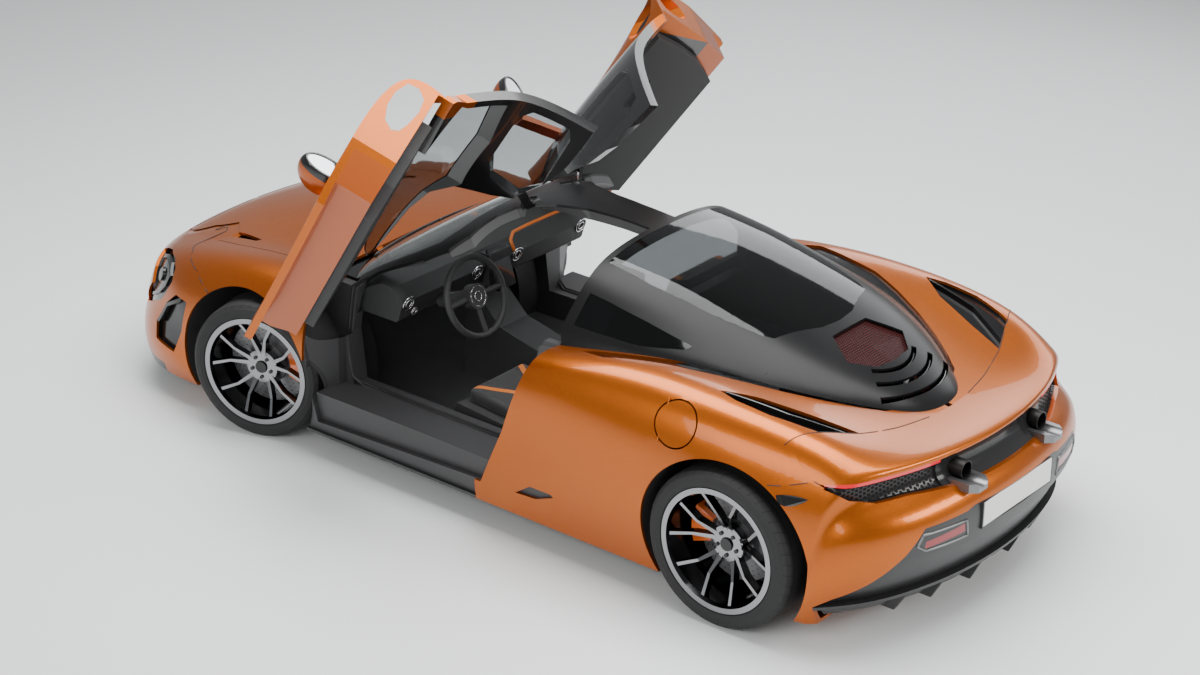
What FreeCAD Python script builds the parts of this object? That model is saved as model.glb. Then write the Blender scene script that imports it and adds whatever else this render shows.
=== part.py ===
import FreeCAD, Part
import math
import os

V = FreeCAD.Vector

# Mid-engine supercar with both dihedral doors standing open, in millimetres.
# +X points forward, +Y to the car's left, +Z up. The origin is on the ground, under the middle of the car.

# Driving sizes of the whole car
length = 4543.0
half_length = length / 2
wheelbase = 2670.0
front_axle_x = 1210.0
rear_axle_x = front_axle_x - wheelbase
skin = 14.0
floor_z = 120.0
roof_z = 1196.0
moving_gap = 5.5

# Panels that lie under an opening in the skin
bed_t = 6.0
sunk = 26.0

# The door's lower blade, which hangs outside the sill
blade_t = 32.0
blade_top_z = 322.0

# Wheels and tyres
front_track = 1674.0
rear_track = 1629.0
front_tyre_r = 327.0
front_tyre_w = 245.0
rear_tyre_r = 345.5
rear_tyre_w = 305.0
front_seat_r = 241.3
rear_seat_r = 254.0
rim_lip = 17.5
rest_steer = 15.3
king_offset = 80.0
front_arch = (1220.0, 305.0, 399.0)
rear_arch = (-1472.0, 345.0, 396.0)
front_house_y = 505.0
rear_house_y = 630.0

# Door hinge line, from the foot of the windscreen pillar to the middle of the roof
hinge_foot = V(918, 726, 694)
hinge_roof = V(156, 133, 1180)
door_swing = 80.0
hinge_pocket_r = 200.0

# Bonnet hinge: two pins across the scuttle behind the bonnet
lid_pin_x = 942.0
lid_pin_z = 774.0
lid_pin_r = 4.0
lid_back_x = 964.0
lid_pin_y = 315.0
door_inner_y = 735.0
door_roof_y = 90.0


# Body pole net: each rib runs from the middle of the car out and down to the floor edge
body_ribs = [
    [(2225, 0, 120), (2222, 210, 120), (2195, 430, 120), (2150, 610, 120), (2080, 740, 120),
     (1985, 830, 120), (1880, 880, 120), (1780, 905, 120), (1670, 915, 120), (1560, 915, 120)],
    [(2273, 0, 200), (2266, 215, 200), (2238, 440, 200), (2188, 625, 200), (2112, 760, 205),
     (2005, 860, 210), (1890, 912, 215), (1780, 935, 210), (1660, 940, 190), (1535, 918, 120)],
    [(2276, 0, 330), (2270, 215, 331), (2243, 440, 332), (2192, 626, 335), (2104, 752, 335),
     (1978, 848, 330), (1868, 908, 310), (1765, 942, 275), (1640, 948, 230), (1500, 918, 120)],
    [(2262, 0, 470), (2256, 212, 470), (2228, 435, 470), (2168, 612, 468), (2070, 736, 465),
     (1938, 832, 450), (1826, 898, 400), (1725, 938, 330), (1610, 950, 255), (1460, 918, 120)],
    [(2210, 0, 586), (2203, 208, 584), (2175, 425, 582), (2122, 600, 578), (2028, 735, 574),
     (1892, 838, 560), (1772, 905, 480), (1672, 942, 375), (1565, 950, 275), (1420, 918, 120)],
    [(2090, 0, 657), (2083, 204, 654), (2055, 415, 648), (2008, 590, 648), (1925, 742, 662),
     (1790, 858, 642), (1690, 930, 545), (1600, 952, 410), (1500, 950, 285), (1380, 918, 120)],
    [(1890, 0, 718), (1880, 200, 712), (1850, 410, 700), (1800, 580, 700), (1740, 760, 725),
     (1650, 875, 700), (1560, 940, 590), (1500, 955, 430), (1430, 950, 290), (1340, 918, 120)],
    [(1570, 0, 780), (1560, 200, 772), (1530, 410, 752), (1500, 575, 745), (1460, 765, 785),
     (1420, 872, 745), (1400, 945, 620), (1370, 958, 440), (1340, 950, 295), (1290, 918, 120)],
    [(1210, 0, 806), (1210, 200, 800), (1210, 415, 785), (1210, 575, 775), (1210, 760, 815),
     (1210, 872, 765), (1210, 945, 630), (1210, 958, 445), (1210, 948, 300), (1210, 918, 120)],
    [(940, 0, 806), (940, 200, 802), (940, 415, 792), (940, 585, 788), (940, 757, 805),
     (940, 866, 755), (940, 935, 630), (940, 950, 455), (940, 942, 300), (940, 918, 120)],
    [(650, 0, 800), (650, 200, 798), (650, 415, 795), (650, 600, 790), (650, 760, 790),
     (650, 868, 740), (650, 922, 615), (650, 935, 450), (650, 935, 290), (650, 916, 120)],
    [(250, 0, 800), (250, 200, 798), (250, 415, 795), (250, 610, 790), (250, 765, 790),
     (250, 872, 745), (250, 918, 615), (250, 930, 450), (250, 935, 290), (250, 916, 120)],
    [(-120, 0, 800), (-120, 200, 798), (-120, 415, 795), (-120, 615, 795), (-120, 770, 810),
     (-120, 885, 785), (-120, 932, 640), (-120, 938, 455), (-120, 938, 290), (-120, 916, 120)],
    [(-500, 0, 800), (-500, 200, 800), (-500, 420, 810), (-500, 620, 840), (-500, 780, 890),
     (-500, 915, 870), (-500, 958, 700), (-500, 948, 490), (-500, 942, 300), (-500, 916, 120)],
    [(-850, 0, 850), (-850, 200, 860), (-850, 425, 880), (-850, 620, 910), (-850, 765, 950),
     (-850, 895, 905), (-850, 968, 720), (-850, 966, 500), (-850, 950, 300), (-850, 916, 120)],
    [(-1160, 0, 880), (-1160, 205, 888), (-1160, 430, 905), (-1160, 610, 925), (-1160, 750, 955),
     (-1160, 882, 922), (-1160, 968, 745), (-1160, 974, 520), (-1160, 955, 305), (-1160, 916, 120)],
    [(-1460, 0, 872), (-1460, 205, 872), (-1460, 430, 868), (-1460, 600, 888), (-1460, 740, 935),
     (-1460, 870, 915), (-1460, 960, 745), (-1460, 974, 530), (-1460, 955, 310), (-1460, 916, 120)],
    [(-1730, 0, 812), (-1730, 205, 812), (-1725, 425, 822), (-1720, 590, 858), (-1710, 725, 903),
     (-1700, 850, 880), (-1690, 935, 700), (-1690, 955, 510), (-1680, 942, 310), (-1600, 916, 120)],
    [(-1950, 0, 774), (-1945, 205, 776), (-1925, 430, 792), (-1895, 590, 826), (-1865, 718, 858),
     (-1840, 825, 820), (-1825, 902, 655), (-1810, 925, 490), (-1785, 925, 320), (-1640, 916, 120)],
    [(-2090, 0, 776), (-2080, 210, 776), (-2045, 440, 782), (-1990, 620, 798), (-1935, 750, 806),
     (-1900, 832, 762), (-1870, 885, 620), (-1850, 908, 480), (-1825, 915, 330), (-1670, 916, 120)],
    [(-2187, 0, 786), (-2174, 215, 786), (-2130, 450, 784), (-2060, 640, 780), (-1990, 775, 764),
     (-1935, 845, 690), (-1895, 884, 590), (-1868, 900, 470), (-1840, 908, 330), (-1690, 914, 120)],
    [(-2168, 0, 735), (-2155, 215, 735), (-2108, 450, 732), (-2040, 640, 722), (-1978, 765, 700),
     (-1930, 838, 650), (-1895, 878, 560), (-1868, 897, 450), (-1843, 904, 320), (-1710, 910, 120)],
    [(-2172, 0, 672), (-2158, 215, 672), (-2110, 450, 668), (-2040, 640, 656), (-1980, 764, 640),
     (-1935, 838, 600), (-1896, 878, 520), (-1869, 898, 420), (-1844, 903, 300), (-1730, 905, 120)],
    [(-2264, 0, 632), (-2254, 215, 631), (-2218, 455, 622), (-2150, 650, 606), (-2065, 785, 584),
     (-1980, 858, 540), (-1915, 890, 470), (-1875, 905, 380), (-1845, 905, 280), (-1750, 900, 120)],
    [(-2286, 0, 480), (-2276, 220, 478), (-2240, 462, 472), (-2168, 660, 462), (-2078, 795, 445),
     (-1988, 866, 420), (-1920, 898, 370), (-1880, 908, 310), (-1850, 905, 240), (-1770, 895, 120)],
    [(-2262, 0, 300), (-2250, 220, 300), (-2212, 460, 298), (-2140, 655, 292), (-2055, 785, 285),
     (-1972, 855, 272), (-1908, 888, 250), (-1870, 900, 220), (-1845, 898, 185), (-1790, 885, 120)],
    [(-2170, 0, 120), (-2155, 215, 120), (-2105, 440, 120), (-2035, 620, 120), (-1965, 740, 120),
     (-1912, 805, 120), (-1880, 845, 120), (-1858, 865, 120), (-1840, 878, 120), (-1810, 880, 120)],
]

# Glasshouse pole net: drawn the same way, ending inside the body at cabin_base_z
cabin_base_z = 600.0
cabin_ribs = [
    [(1120, 0, 600), (1110, 190, 600), (1085, 350, 600), (1050, 470, 600), (1005, 560, 600), (940, 640, 600),
     (850, 690, 600), (700, 715, 600)],
    [(1060, 0, 720), (1050, 190, 720), (1022, 355, 720), (985, 480, 720), (935, 580, 718), (865, 660, 712),
     (770, 712, 700), (620, 735, 600)],
    [(960, 0, 800), (950, 195, 800), (922, 365, 803), (880, 505, 806), (825, 615, 806), (750, 695, 795),
     (655, 740, 755), (520, 748, 600)],
    [(800, 0, 898), (790, 195, 897), (762, 370, 895), (718, 515, 892), (660, 632, 880), (585, 708, 830),
     (500, 750, 755), (400, 756, 600)],
    [(620, 0, 1008), (612, 195, 1006), (586, 365, 998), (545, 505, 985), (495, 615, 956), (425, 692, 874),
     (350, 752, 765), (270, 760, 600)],
    [(430, 0, 1110), (424, 190, 1107), (405, 350, 1095), (370, 485, 1070), (332, 590, 1028), (270, 675, 912),
     (210, 750, 780), (140, 762, 600)],
    [(230, 0, 1178), (227, 185, 1174), (216, 335, 1158), (195, 460, 1125), (165, 560, 1056), (130, 660, 932),
     (90, 747, 795), (50, 762, 600)],
    [(20, 0, 1201), (20, 185, 1197), (16, 332, 1180), (8, 448, 1145), (-5, 548, 1070), (-20, 652, 940),
     (-40, 744, 805), (-60, 762, 600)],
    [(-200, 0, 1203), (-200, 185, 1199), (-200, 330, 1183), (-200, 445, 1146), (-200, 542, 1070),
     (-200, 648, 945), (-200, 742, 830), (-200, 762, 600)],
    [(-420, 0, 1194), (-420, 185, 1189), (-420, 330, 1170), (-420, 447, 1135), (-420, 545, 1062),
     (-420, 645, 955), (-420, 735, 850), (-420, 760, 600)],
    [(-700, 0, 1163), (-700, 180, 1158), (-700, 320, 1140), (-700, 435, 1105), (-700, 525, 1045),
     (-700, 620, 960), (-700, 715, 880), (-700, 750, 600)],
    [(-1000, 0, 1098), (-1000, 175, 1094), (-1000, 305, 1080), (-1000, 410, 1050), (-1000, 490, 1005),
     (-1000, 575, 950), (-1000, 660, 890), (-1000, 700, 600)],
    [(-1300, 0, 1022), (-1300, 165, 1020), (-1300, 285, 1010), (-1300, 375, 990), (-1300, 440, 962),
     (-1300, 510, 925), (-1300, 590, 870), (-1300, 630, 600)],
    [(-1580, 0, 935), (-1580, 140, 932), (-1580, 240, 922), (-1575, 310, 908), (-1570, 365, 886),
     (-1565, 420, 850), (-1560, 480, 780), (-1560, 520, 600)],
    [(-1780, 0, 858), (-1780, 100, 855), (-1775, 170, 846), (-1768, 225, 832), (-1760, 265, 812),
     (-1750, 300, 780), (-1740, 330, 720), (-1740, 360, 600)],
    [(-1960, 0, 782), (-1955, 60, 779), (-1942, 110, 770), (-1922, 150, 756), (-1900, 182, 738),
     (-1875, 210, 710), (-1850, 235, 670), (-1840, 255, 600)],
    [(-1990, 0, 600), (-1983, 72, 600), (-1970, 120, 600), (-1952, 160, 600), (-1930, 192, 600),
     (-1905, 218, 600), (-1880, 240, 600), (-1860, 258, 600)],
]


def mirrored_net(ribs):
    net = []
    for rib in ribs:
        right = [(x, -y, z) for x, y, z in reversed(rib[1:])]
        net.append([V(*p) for p in right + list(rib)])
    return net


def uniform_knots(count):
    spans = count - 3
    return list(range(spans + 1)), [4] + [1] * (spans - 1) + [4]


def net_solid(ribs, inset=0.0):
    # A closed solid under the net. An inset moves every pole in along the net's own normal.
    net = mirrored_net(ribs)
    rows = len(net)
    cols = len(net[0])
    poles = []
    for i in range(rows):
        line = []
        for j in range(cols):
            along = net[min(i + 1, rows - 1)][j] - net[max(i - 1, 0)][j]
            across = net[i][min(j + 1, cols - 1)] - net[i][max(j - 1, 0)]
            normal = across.cross(along)
            edge = i in (0, rows - 1) or j in (0, cols - 1)
            if edge:
                normal.z = 0
            if normal.Length < 1e-6:
                normal = V(0, 0, 1)
            normal.normalize()
            middle = net[rows // 2][cols // 2]
            outward = net[i][j] - V(middle.x, 0, middle.z - 500)
            if normal.dot(outward) < 0:
                normal = normal * -1
            moved = net[i][j] - normal * inset
            if edge:
                moved.z = net[i][j].z + inset
            line.append(moved)
        poles.append(line)
    u_knots, u_mults = uniform_knots(rows)
    v_knots, v_mults = uniform_knots(cols)
    surface = Part.BSplineSurface()
    surface.buildFromPolesMultsKnots(poles, u_mults, v_mults, u_knots, v_knots, False, False, 3, 3)
    top = surface.toShape()
    rim = Part.Wire(Part.__sortEdges__(top.OuterWire.Edges))
    bottom = Part.Face(Part.Wire(rim.Edges))
    shell = Part.makeShell([top, bottom])
    solid = Part.makeSolid(shell)
    if solid.Volume < 0:
        solid.reverse()
    return solid


def box(x0, x1, y0, y1, z0, z1):
    return Part.makeBox(x1 - x0, y1 - y0, z1 - z0, V(x0, y0, z0))


def prism_side(points, y0, y1):
    wire = Part.makePolygon([V(x, y0, z) for x, z in points] + [V(points[0][0], y0, points[0][1])])
    return Part.Face(wire).extrude(V(0, y1 - y0, 0))


def prism_plan(points, z0, z1):
    wire = Part.makePolygon([V(x, y, z0) for x, y in points] + [V(points[0][0], points[0][1], z0)])
    return Part.Face(wire).extrude(V(0, 0, z1 - z0))


def prism_front(points, x0, x1):
    wire = Part.makePolygon([V(x0, y, z) for y, z in points] + [V(x0, points[0][0], points[0][1])])
    return Part.Face(wire).extrude(V(x1 - x0, 0, 0))


def bar(a, b, r):
    way = b - a
    return Part.makeCylinder(r, way.Length, a, way)


def ring(profile, axis_at=V(0, 0, 0)):
    # Turns a closed (radius, y) outline about the Y axis.
    wire = Part.makePolygon([V(r, y, 0) for r, y in profile] + [V(profile[0][0], profile[0][1], 0)])
    turned = Part.Face(wire).revolve(V(0, 0, 0), V(0, 1, 0), 360)
    turned.translate(axis_at)
    return turned


def mirror(shape):
    return shape.mirror(V(0, 0, 0), V(0, 1, 0))


def join(shapes):
    return shapes[0] if len(shapes) == 1 else shapes[0].multiFuse(shapes[1:]).removeSplitter()


def solids_of(shape, least=2000.0):
    found = [s for s in shape.Solids if s.Volume > least]
    return found[0] if len(found) == 1 else Part.makeCompound(found)


def both_sides(shape):
    return Part.makeCompound(list(shape.Solids) + list(mirror(shape).Solids))


os.makedirs("parts", exist_ok=True)
made = {}


def save(node, shape):
    shape = solids_of(shape)
    made[node] = shape
    shape.exportStep("parts/" + node + ".step")
    b = shape.BoundBox
    print(node, len(shape.Solids), shape.isValid(), round(shape.Volume / 1e6, 2),
          [round(v) for v in (b.XMin, b.XMax, b.YMin, b.YMax, b.ZMin, b.ZMax)])


# The skins
body = net_solid(body_ribs)
body_in = net_solid(body_ribs, skin)
cabin = net_solid(cabin_ribs)
glass_t = 5.0
frame_t = 10.0
cabin_glass_in = net_solid(cabin_ribs, glass_t)
cabin_in = net_solid(cabin_ribs, frame_t)
cabin_void = net_solid(cabin_ribs, 45.0)
body_deep = net_solid(body_ribs, skin + moving_gap + 0.5)

# Wheel houses
front_house = Part.makeCylinder(front_arch[2], 700, V(front_arch[0], front_house_y, front_arch[1]), V(0, 1, 0))
rear_house = Part.makeCylinder(rear_arch[2], 700, V(rear_arch[0], rear_house_y, rear_arch[1]), V(0, 1, 0))
houses = [front_house, rear_house, mirror(front_house), mirror(rear_house)]

# Shut lines as seen from the side
door_front = [(795, 183), (838, 430), (852, 620), (842, 760), (815, 828)]
door_pillar = [(700, 905), (434, 1028), (319, 1082), (262, 1150), (255, 1230)]
door_back = [(-421, 1230), (-420, 1160), (-412, 915), (-437, 868), (-315, 506), (-183, 222)]
door_outline = door_front + door_pillar + door_back

# Upper edge of the door on the skin: up the windscreen pillar, round the header, along the roof spine
pillar_line = [(905, 725, 800), (842, 700, 840), (690, 640, 888), (434, 600, 999), (319, 560, 1044), (262, 480, 1100),
               (246, 326, 1150), (215, 232, 1175), (146, 200, 1188), (50, 150, 1192), (-100, 112, 1190),
               (-273, 98, 1180), (-700, 90, 1120)]
# Its edge faces lean back by this run per rise, the way the pillar edge travels as the door lifts
lean_x = 0.725
lean_y = -0.1125
shoulder_z = 800.0
# The leading face leans back towards the cabin, so that it clears the fender as it swings
lead_plan = [(850, 1200), (850, 925), (786, 775), (786, 600)]
fender_back_x = 857.5


def grow(points, by):
    # Moves a closed outline out by a distance, corner by corner.
    area = sum(points[i - 1][0] * points[i][1] - points[i][0] * points[i - 1][1] for i in range(len(points)))
    turn = 1.0 if area > 0 else -1.0
    out = []
    for i in range(len(points)):
        ax, az = points[i - 1]
        bx, bz = points[i]
        cx, cz = points[(i + 1) % len(points)]
        n1 = (turn * (bz - az), -turn * (bx - ax))
        n2 = (turn * (cz - bz), -turn * (cx - bx))
        l1 = math.hypot(*n1)
        l2 = math.hypot(*n2)
        n1 = (n1[0] / l1, n1[1] / l1)
        n2 = (n2[0] / l2, n2[1] / l2)
        k = 1 + n1[0] * n2[0] + n1[1] * n2[1]
        out.append((bx + by * (n1[0] + n2[0]) / k, bz + by * (n1[1] + n2[1]) / k))
    return out


def door_prism(by):
    # The lower door is bounded by the leading face, the upper door by the leaning pillar line.
    base = [(x - lean_x * (z - shoulder_z), y - lean_y * (z - shoulder_z)) for x, y, z in pillar_line]
    base = grow(base + [(-1100, 1200), (905, 1200)], by)
    wire = Part.makePolygon([V(x, y, shoulder_z) for x, y in base + base[:1]])
    upper = Part.Face(wire).extrude(V(lean_x, lean_y, 1) * 500)
    lead = prism_plan(grow(lead_plan + [(-900, 600), (-900, 1200)], by), 0, shoulder_z)
    return prism_side(grow(door_outline, by), 0, 1200).common(join([lead, upper]))


door_region = door_prism(0)
door_gap_region = door_prism(moving_gap)

# Closed door: its outer face is the body's, its inner face stands off the cabin
blade_in = net_solid(body_ribs, blade_t)
under_blade = box(-1200, 1200, -1200, 1200, 100, blade_top_z)
under_blade_gap = box(-1200, 1200, -1200, 1200, 100, blade_top_z - moving_gap)
door_core = join([box(-1200, 1200, -door_inner_y, door_inner_y, 100, 850), cabin_void,
                  blade_in.common(under_blade)])
door_core_gap = join([box(-1200, 1200, moving_gap - door_inner_y, door_inner_y - moving_gap, 100, 850),
                      net_solid(cabin_ribs, 45.0 + moving_gap),
                      net_solid(body_ribs, blade_t + moving_gap).common(under_blade_gap)])
whole = body.fuse(cabin)
door_zone = door_region.common(whole)
door_closed = door_zone.cut(door_core)

window_outline = [(715, 838), (650, 856), (410, 952), (300, 1000), (200, 1060), (-100, 1083), (-372, 1062),
                  (-368, 930), (-384, 905), (-100, 852), (300, 826), (640, 826)]
window_region = prism_side(window_outline, 400, 1200)
roof_pane = prism_plan([(150, 240), (120, 375), (20, 412), (-300, 402), (-362, 360), (-362, 190), (-300, 162),
                        (70, 162)], 1040, 1300)
door_closed = door_closed.cut(window_region).cut(roof_pane)

left_panes = [cabin.cut(cabin_glass_in).common(window_region).cut(body).common(door_region),
              cabin.cut(cabin_glass_in).common(roof_pane).common(door_region)]


def opened(shape):
    turned = shape.copy()
    turned.rotate(hinge_foot, hinge_roof - hinge_foot, -door_swing)
    return turned


hinge_way = (hinge_roof - hinge_foot).normalize()
hinge_out = V(-hinge_way.y, hinge_way.x, 0).normalize() * -1
hinge_pin_r = 8.0
running_fit = 0.3
eye_start = 1014.0
eye_length = 40.0


def on_hinge(along):
    return hinge_foot + hinge_way * along


eye = Part.makeCylinder(17, eye_length, on_hinge(eye_start), hinge_way)
arm_corner = on_hinge(eye_start) - V(0, 0, 8)
arm_side = hinge_way.cross(hinge_out) * 16
arm_face = Part.makePolygon([arm_corner, arm_corner + hinge_way * eye_length,
                             arm_corner + hinge_way * eye_length + arm_side, arm_corner + arm_side, arm_corner])
arm = Part.Face(arm_face).extrude(hinge_out * 82)
hinge_arm = join([eye, arm]).cut(Part.makeCylinder(hinge_pin_r + running_fit, 200, on_hinge(900 + 40), hinge_way))


def prism_along(points, way, back, ahead):
    # An outline of 3-D points, laid flat across the given way and run along it
    flat = [V(*p) - way * V(*p).dot(way) for p in points]
    return Part.Face(Part.makePolygon([p + way * back for p in flat + flat[:1]])).extrude(way * (ahead - back))


# The air channel leaves at the door's rear edge, between the outer blade and the inner door
channel_mouth = [(-352, 825, 615), (-359, 868, 640), (-378, 893, 700), (-402, 893, 765), (-424, 866, 822),
                 (-425, 815, 828), (-414, 775, 798), (-394, 765, 741), (-371, 778, 672), (-356, 795, 629)]
channel_way = V(0.734, 0.033, 0.679).normalize()
channel_start = V(*channel_mouth[0]).dot(channel_way)
channel = prism_along(channel_mouth, channel_way, channel_start - 120, channel_start + 700)
door_closed = door_closed.cut(channel)
latch_corner = prism_side([(-320, 780), (-320, 905), (-368, 950), (-600, 950), (-600, 780)], 500, 1200)
inner_door = blade_in.common(box(-300, 1300, 0, 1200, 0, 900))
door_frame_closed = join([door_closed.cut(body).cut(latch_corner), door_closed.common(inner_door)])
door_frame_closed = solids_of(door_frame_closed, 50000)
door_skin_closed = solids_of(door_closed.cut(door_frame_closed), 50000)
door_left = opened(door_skin_closed)
door_frame_left = opened(join([door_frame_closed, hinge_arm]))
door_glass_left = opened(Part.makeCompound([s for p in left_panes for s in p.Solids if s.Volume > 2000]))

# Door trim: a pad on the inner face
trim_outline = [(690, 335), (735, 560), (708, 760), (640, 790), (-300, 795), (-258, 620), (-205, 480), (-110, 340)]
trim_depth = 45.0
door_trim_closed = prism_side(trim_outline, door_inner_y - trim_depth, door_inner_y)
handle_slot = prism_side([(150, 640), (-40, 655), (-40, 700), (150, 690)], 600, door_inner_y - 15)
door_trim_closed = door_trim_closed.cut(handle_slot)
door_trim_left = opened(door_trim_closed)

# Mirror pod on its stalk: rings from the flat rear face to the rounded nose
pod_middle = V(0, 1010, 985)
pod_rings = [(478, 106, 50), (500, 118, 60), (560, 120, 62), (610, 100, 52), (645, 60, 33), (657, 22, 12)]
pod_wires = []
for ring_x, half_wide, half_high in pod_rings:
    ellipse = Part.Ellipse(V(0, 0, 0), half_wide, half_high).toShape()
    ellipse.Placement = FreeCAD.Placement(pod_middle + V(ring_x, 0, 0), FreeCAD.Rotation(V(1, 1, 1), 120))
    pod_wires.append(Part.Wire([ellipse]))
pod = Part.makeLoft(pod_wires, True)
glass_seat = Part.Ellipse(V(0, 0, 0), 98, 42).toShape()
glass_seat.Placement = FreeCAD.Placement(pod_middle + V(470, 0, 0), FreeCAD.Rotation(V(1, 1, 1), 120))
glass_seat = Part.Face(Part.Wire([glass_seat])).extrude(V(18, 0, 0))
stalk = prism_front([(870, 655), (902, 655), (985, 960), (945, 960)], 560, 612)
mirror_closed = join([pod.cut(glass_seat), stalk]).cut(body)
mirror_left = opened(solids_of(mirror_closed))

save("door_left", door_left)
save("door_right", mirror(door_left))
save("door_frame_left", door_frame_left)
save("door_frame_right", mirror(door_frame_left))
save("door_glass_left", door_glass_left)
save("door_glass_right", mirror(door_glass_left))
save("door_trim_left", door_trim_left)
save("door_trim_right", mirror(door_trim_left))
save("mirror_left", mirror_left)
save("mirror_right", mirror(mirror_left))

# Fixed outer panels
skin_all = body.cut(body_in)
skin_shell = skin_all
for house in houses:
    skin_shell = skin_shell.cut(house)
skin_shell = skin_shell.cut(cabin_in)
skin_shell = skin_shell.cut(door_gap_region).cut(mirror(door_gap_region))

nose_line = [(1440, 560), (1462, 624), (1578, 684), (1720, 712), (1822, 700), (1930, 672), (2075, 622), (2500, 590)]
bonnet_edge = [(2500, 400), (2085, 448), (1959, 579), (1735, 612), (1548, 640), (1200, 645), (905, 655)]
bonnet_back_x = 905.0
tub_front_x = 1005.0
tub_back_x = -620.0
tail_line = [(-1650, 702), (-1725, 710), (-1848, 746), (-1900, 720), (-2050, 700), (-2500, 700)]

nose_region = prism_side(nose_line + [(2500, 0), (1440, 0)], -1200, 1200)
bonnet_half = bonnet_edge + [(bonnet_back_x, 0), (2500, 0)]
bonnet_region = prism_plan(bonnet_half + [], 400, 1000)
bonnet_region = join([bonnet_region, mirror(bonnet_region)]).cut(nose_region)
front_zone = box(700, 2500, -1200, 1200, 0, 1300)
fender_zone = front_zone.cut(nose_region).cut(bonnet_region)

# Openings at the nose: a headlamp socket and a side intake on each side
lamp_facing = V(0.66, 0.751, 0).normalize()
lamp_across = V(-lamp_facing.y, lamp_facing.x, 0)
lamp_outline = [(-1110, 596), (-1035, 630), (-950, 656), (-817, 666), (-750, 645), (-724, 587), (-760, 520), (-800, 470),
                (-900, 420), (-1000, 380), (-1120, 320), (-1150, 332), (-1085, 400), (-1005, 470), (-1045, 535)]


def lamp_prism(outline):
    return prism_along([lamp_across * u + V(0, 0, v) for u, v in outline], lamp_facing, 1500, 2400)


lamp_hole = lamp_prism(lamp_outline)
lamp_rim = lamp_prism(grow(lamp_outline, 8))
intake_outline = [(1600, 540), (1690, 548), (1775, 480), (1860, 362), (1846, 282), (1700, 262), (1640, 385)]
intake_hole = prism_side(intake_outline, 700, 1100)
intake_rim = prism_side(grow(intake_outline, 8), 700, 1100)
vent_plan = [(1850, 466), (1835, 508), (1700, 542), (1528, 548), (1516, 522), (1660, 486)]
mouth_half = [(-20, 300), (430, 292), (640, 262), (742, 222), (735, 172), (640, 160), (-20, 160)]
mouth = prism_front(mouth_half, 1900, 2400)
mouth_rim = prism_front(grow(mouth_half, 9), 1900, 2400)
nose_openings = [lamp_hole, mirror(lamp_hole), intake_hole, mirror(intake_hole)]
for opening in nose_openings:
    skin_shell = skin_shell.cut(opening)
skin_shell = skin_shell.cut(mouth).cut(mirror(mouth))

front_bumper = skin_shell.common(nose_region)
bonnet_gap_plan = prism_plan(grow(bonnet_half[:-2] + [(bonnet_back_x, -655)] +
                                  [(x, -y) for x, y in reversed(bonnet_edge[:-1])], -moving_gap), 400, 1000)
nose_region_gap = prism_side([(x, z + moving_gap) for x, z in nose_line] + [(2500, 0), (1440, 0)], -1200, 1200)
bonnet = skin_shell.common(bonnet_gap_plan).cut(nose_region_gap).cut(box(0, lid_back_x, -900, 900, 0, 1300))
lugs = []
for way in (-1, 1):
    lug_y = way * lid_pin_y - 18
    knuckle = Part.makeCylinder(8, 36, V(lid_pin_x, lug_y, lid_pin_z), V(0, 1, 0))
    lug_arm = prism_side([(lid_pin_x, 767), (995, 758), (1040, 800), (975, 800), (lid_pin_x, 780)], lug_y, lug_y + 36)
    lug = join([knuckle, lug_arm])
    lug = lug.cut(Part.makeCylinder(lid_pin_r + running_fit, 60, V(lid_pin_x, lug_y - 12, lid_pin_z), V(0, 1, 0)))
    lugs.append(lug.common(body))
bonnet_vent = prism_plan(vent_plan, 500, 900)
bonnet = join([solids_of(bonnet.cut(bonnet_vent).cut(mirror(bonnet_vent)))] + lugs)
front_fender = skin_shell.common(fender_zone).common(box(-3000, 3000, 30, 1200, floor_z + 200, 1300))
front_fender = front_fender.cut(box(-3000, fender_back_x, -1200, 1200, 0, 1300))
front_fender = front_fender.cut(box(0, bonnet_back_x, -640, 640, 700, 1300))
cowl = skin_shell.common(box(700, bonnet_back_x, -640, 640, 700, 1300))

save("front_bumper", front_bumper)
save("bonnet", bonnet)
save("front_fenders", both_sides(solids_of(front_fender, 100000)))

# Openings in the haunches: a leaf vent, a long slot beside the canopy and a slit ahead of the wheel
leaf = [(-1305, 750), (-1400, 770), (-1560, 764), (-1700, 724), (-1754, 702), (-1828, 520), (-1650, 578), (-1440, 658)]
slot = [(-600, 752), (-727, 776), (-966, 699), (-1104, 662), (-1270, 589), (-1439, 503), (-1580, 416), (-1693, 333),
        (-1775, 262), (-1802, 205), (-1756, 226), (-1618, 296), (-1516, 364), (-1381, 441), (-1188, 537), (-1045, 585),
        (-817, 674), (-640, 722)]
slit = [(-385, 232), (-470, 292), (-588, 294), (-600, 282), (-500, 240)]
vent_holes = [prism_plan(leaf, 700, 1100), prism_plan(slot, 700, 1100), prism_side(slit, 800, 1100)]
vent_rims = [prism_plan(grow(leaf, 9), 700, 1100), prism_plan(grow(slot, 9), 700, 1100)]

# The tail band under the wing, and the lower opening with the plate and the diffuser
band_half = [(-20, 760), (380, 756), (640, 752), (800, 746), (862, 736), (785, 676), (690, 650), (560, 655), (420, 648),
             (250, 640), (-20, 640)]
led_half = [(386, 755.9), (640, 752), (800, 746), (862, 736), (800, 733), (640, 738), (386, 742)]
lower_half = [(-20, 562), (300, 560), (345, 548), (565, 540), (645, 445), (760, 335), (850, 258), (882, 215), (882, 100),
              (-20, 100)]
surround_half = [(-20, 562), (300, 560), (345, 548), (565, 540), (645, 445), (560, 420), (300, 400), (-20, 396)]
reflector_half = [(362, 500), (562, 482), (566, 452), (358, 464)]
lip_half = [(-20, 242), (500, 238), (800, 222), (878, 212), (878, 196), (800, 202), (500, 216), (-20, 220)]
tail_x0 = -2400.0
tail_x1 = -1885.0


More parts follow.
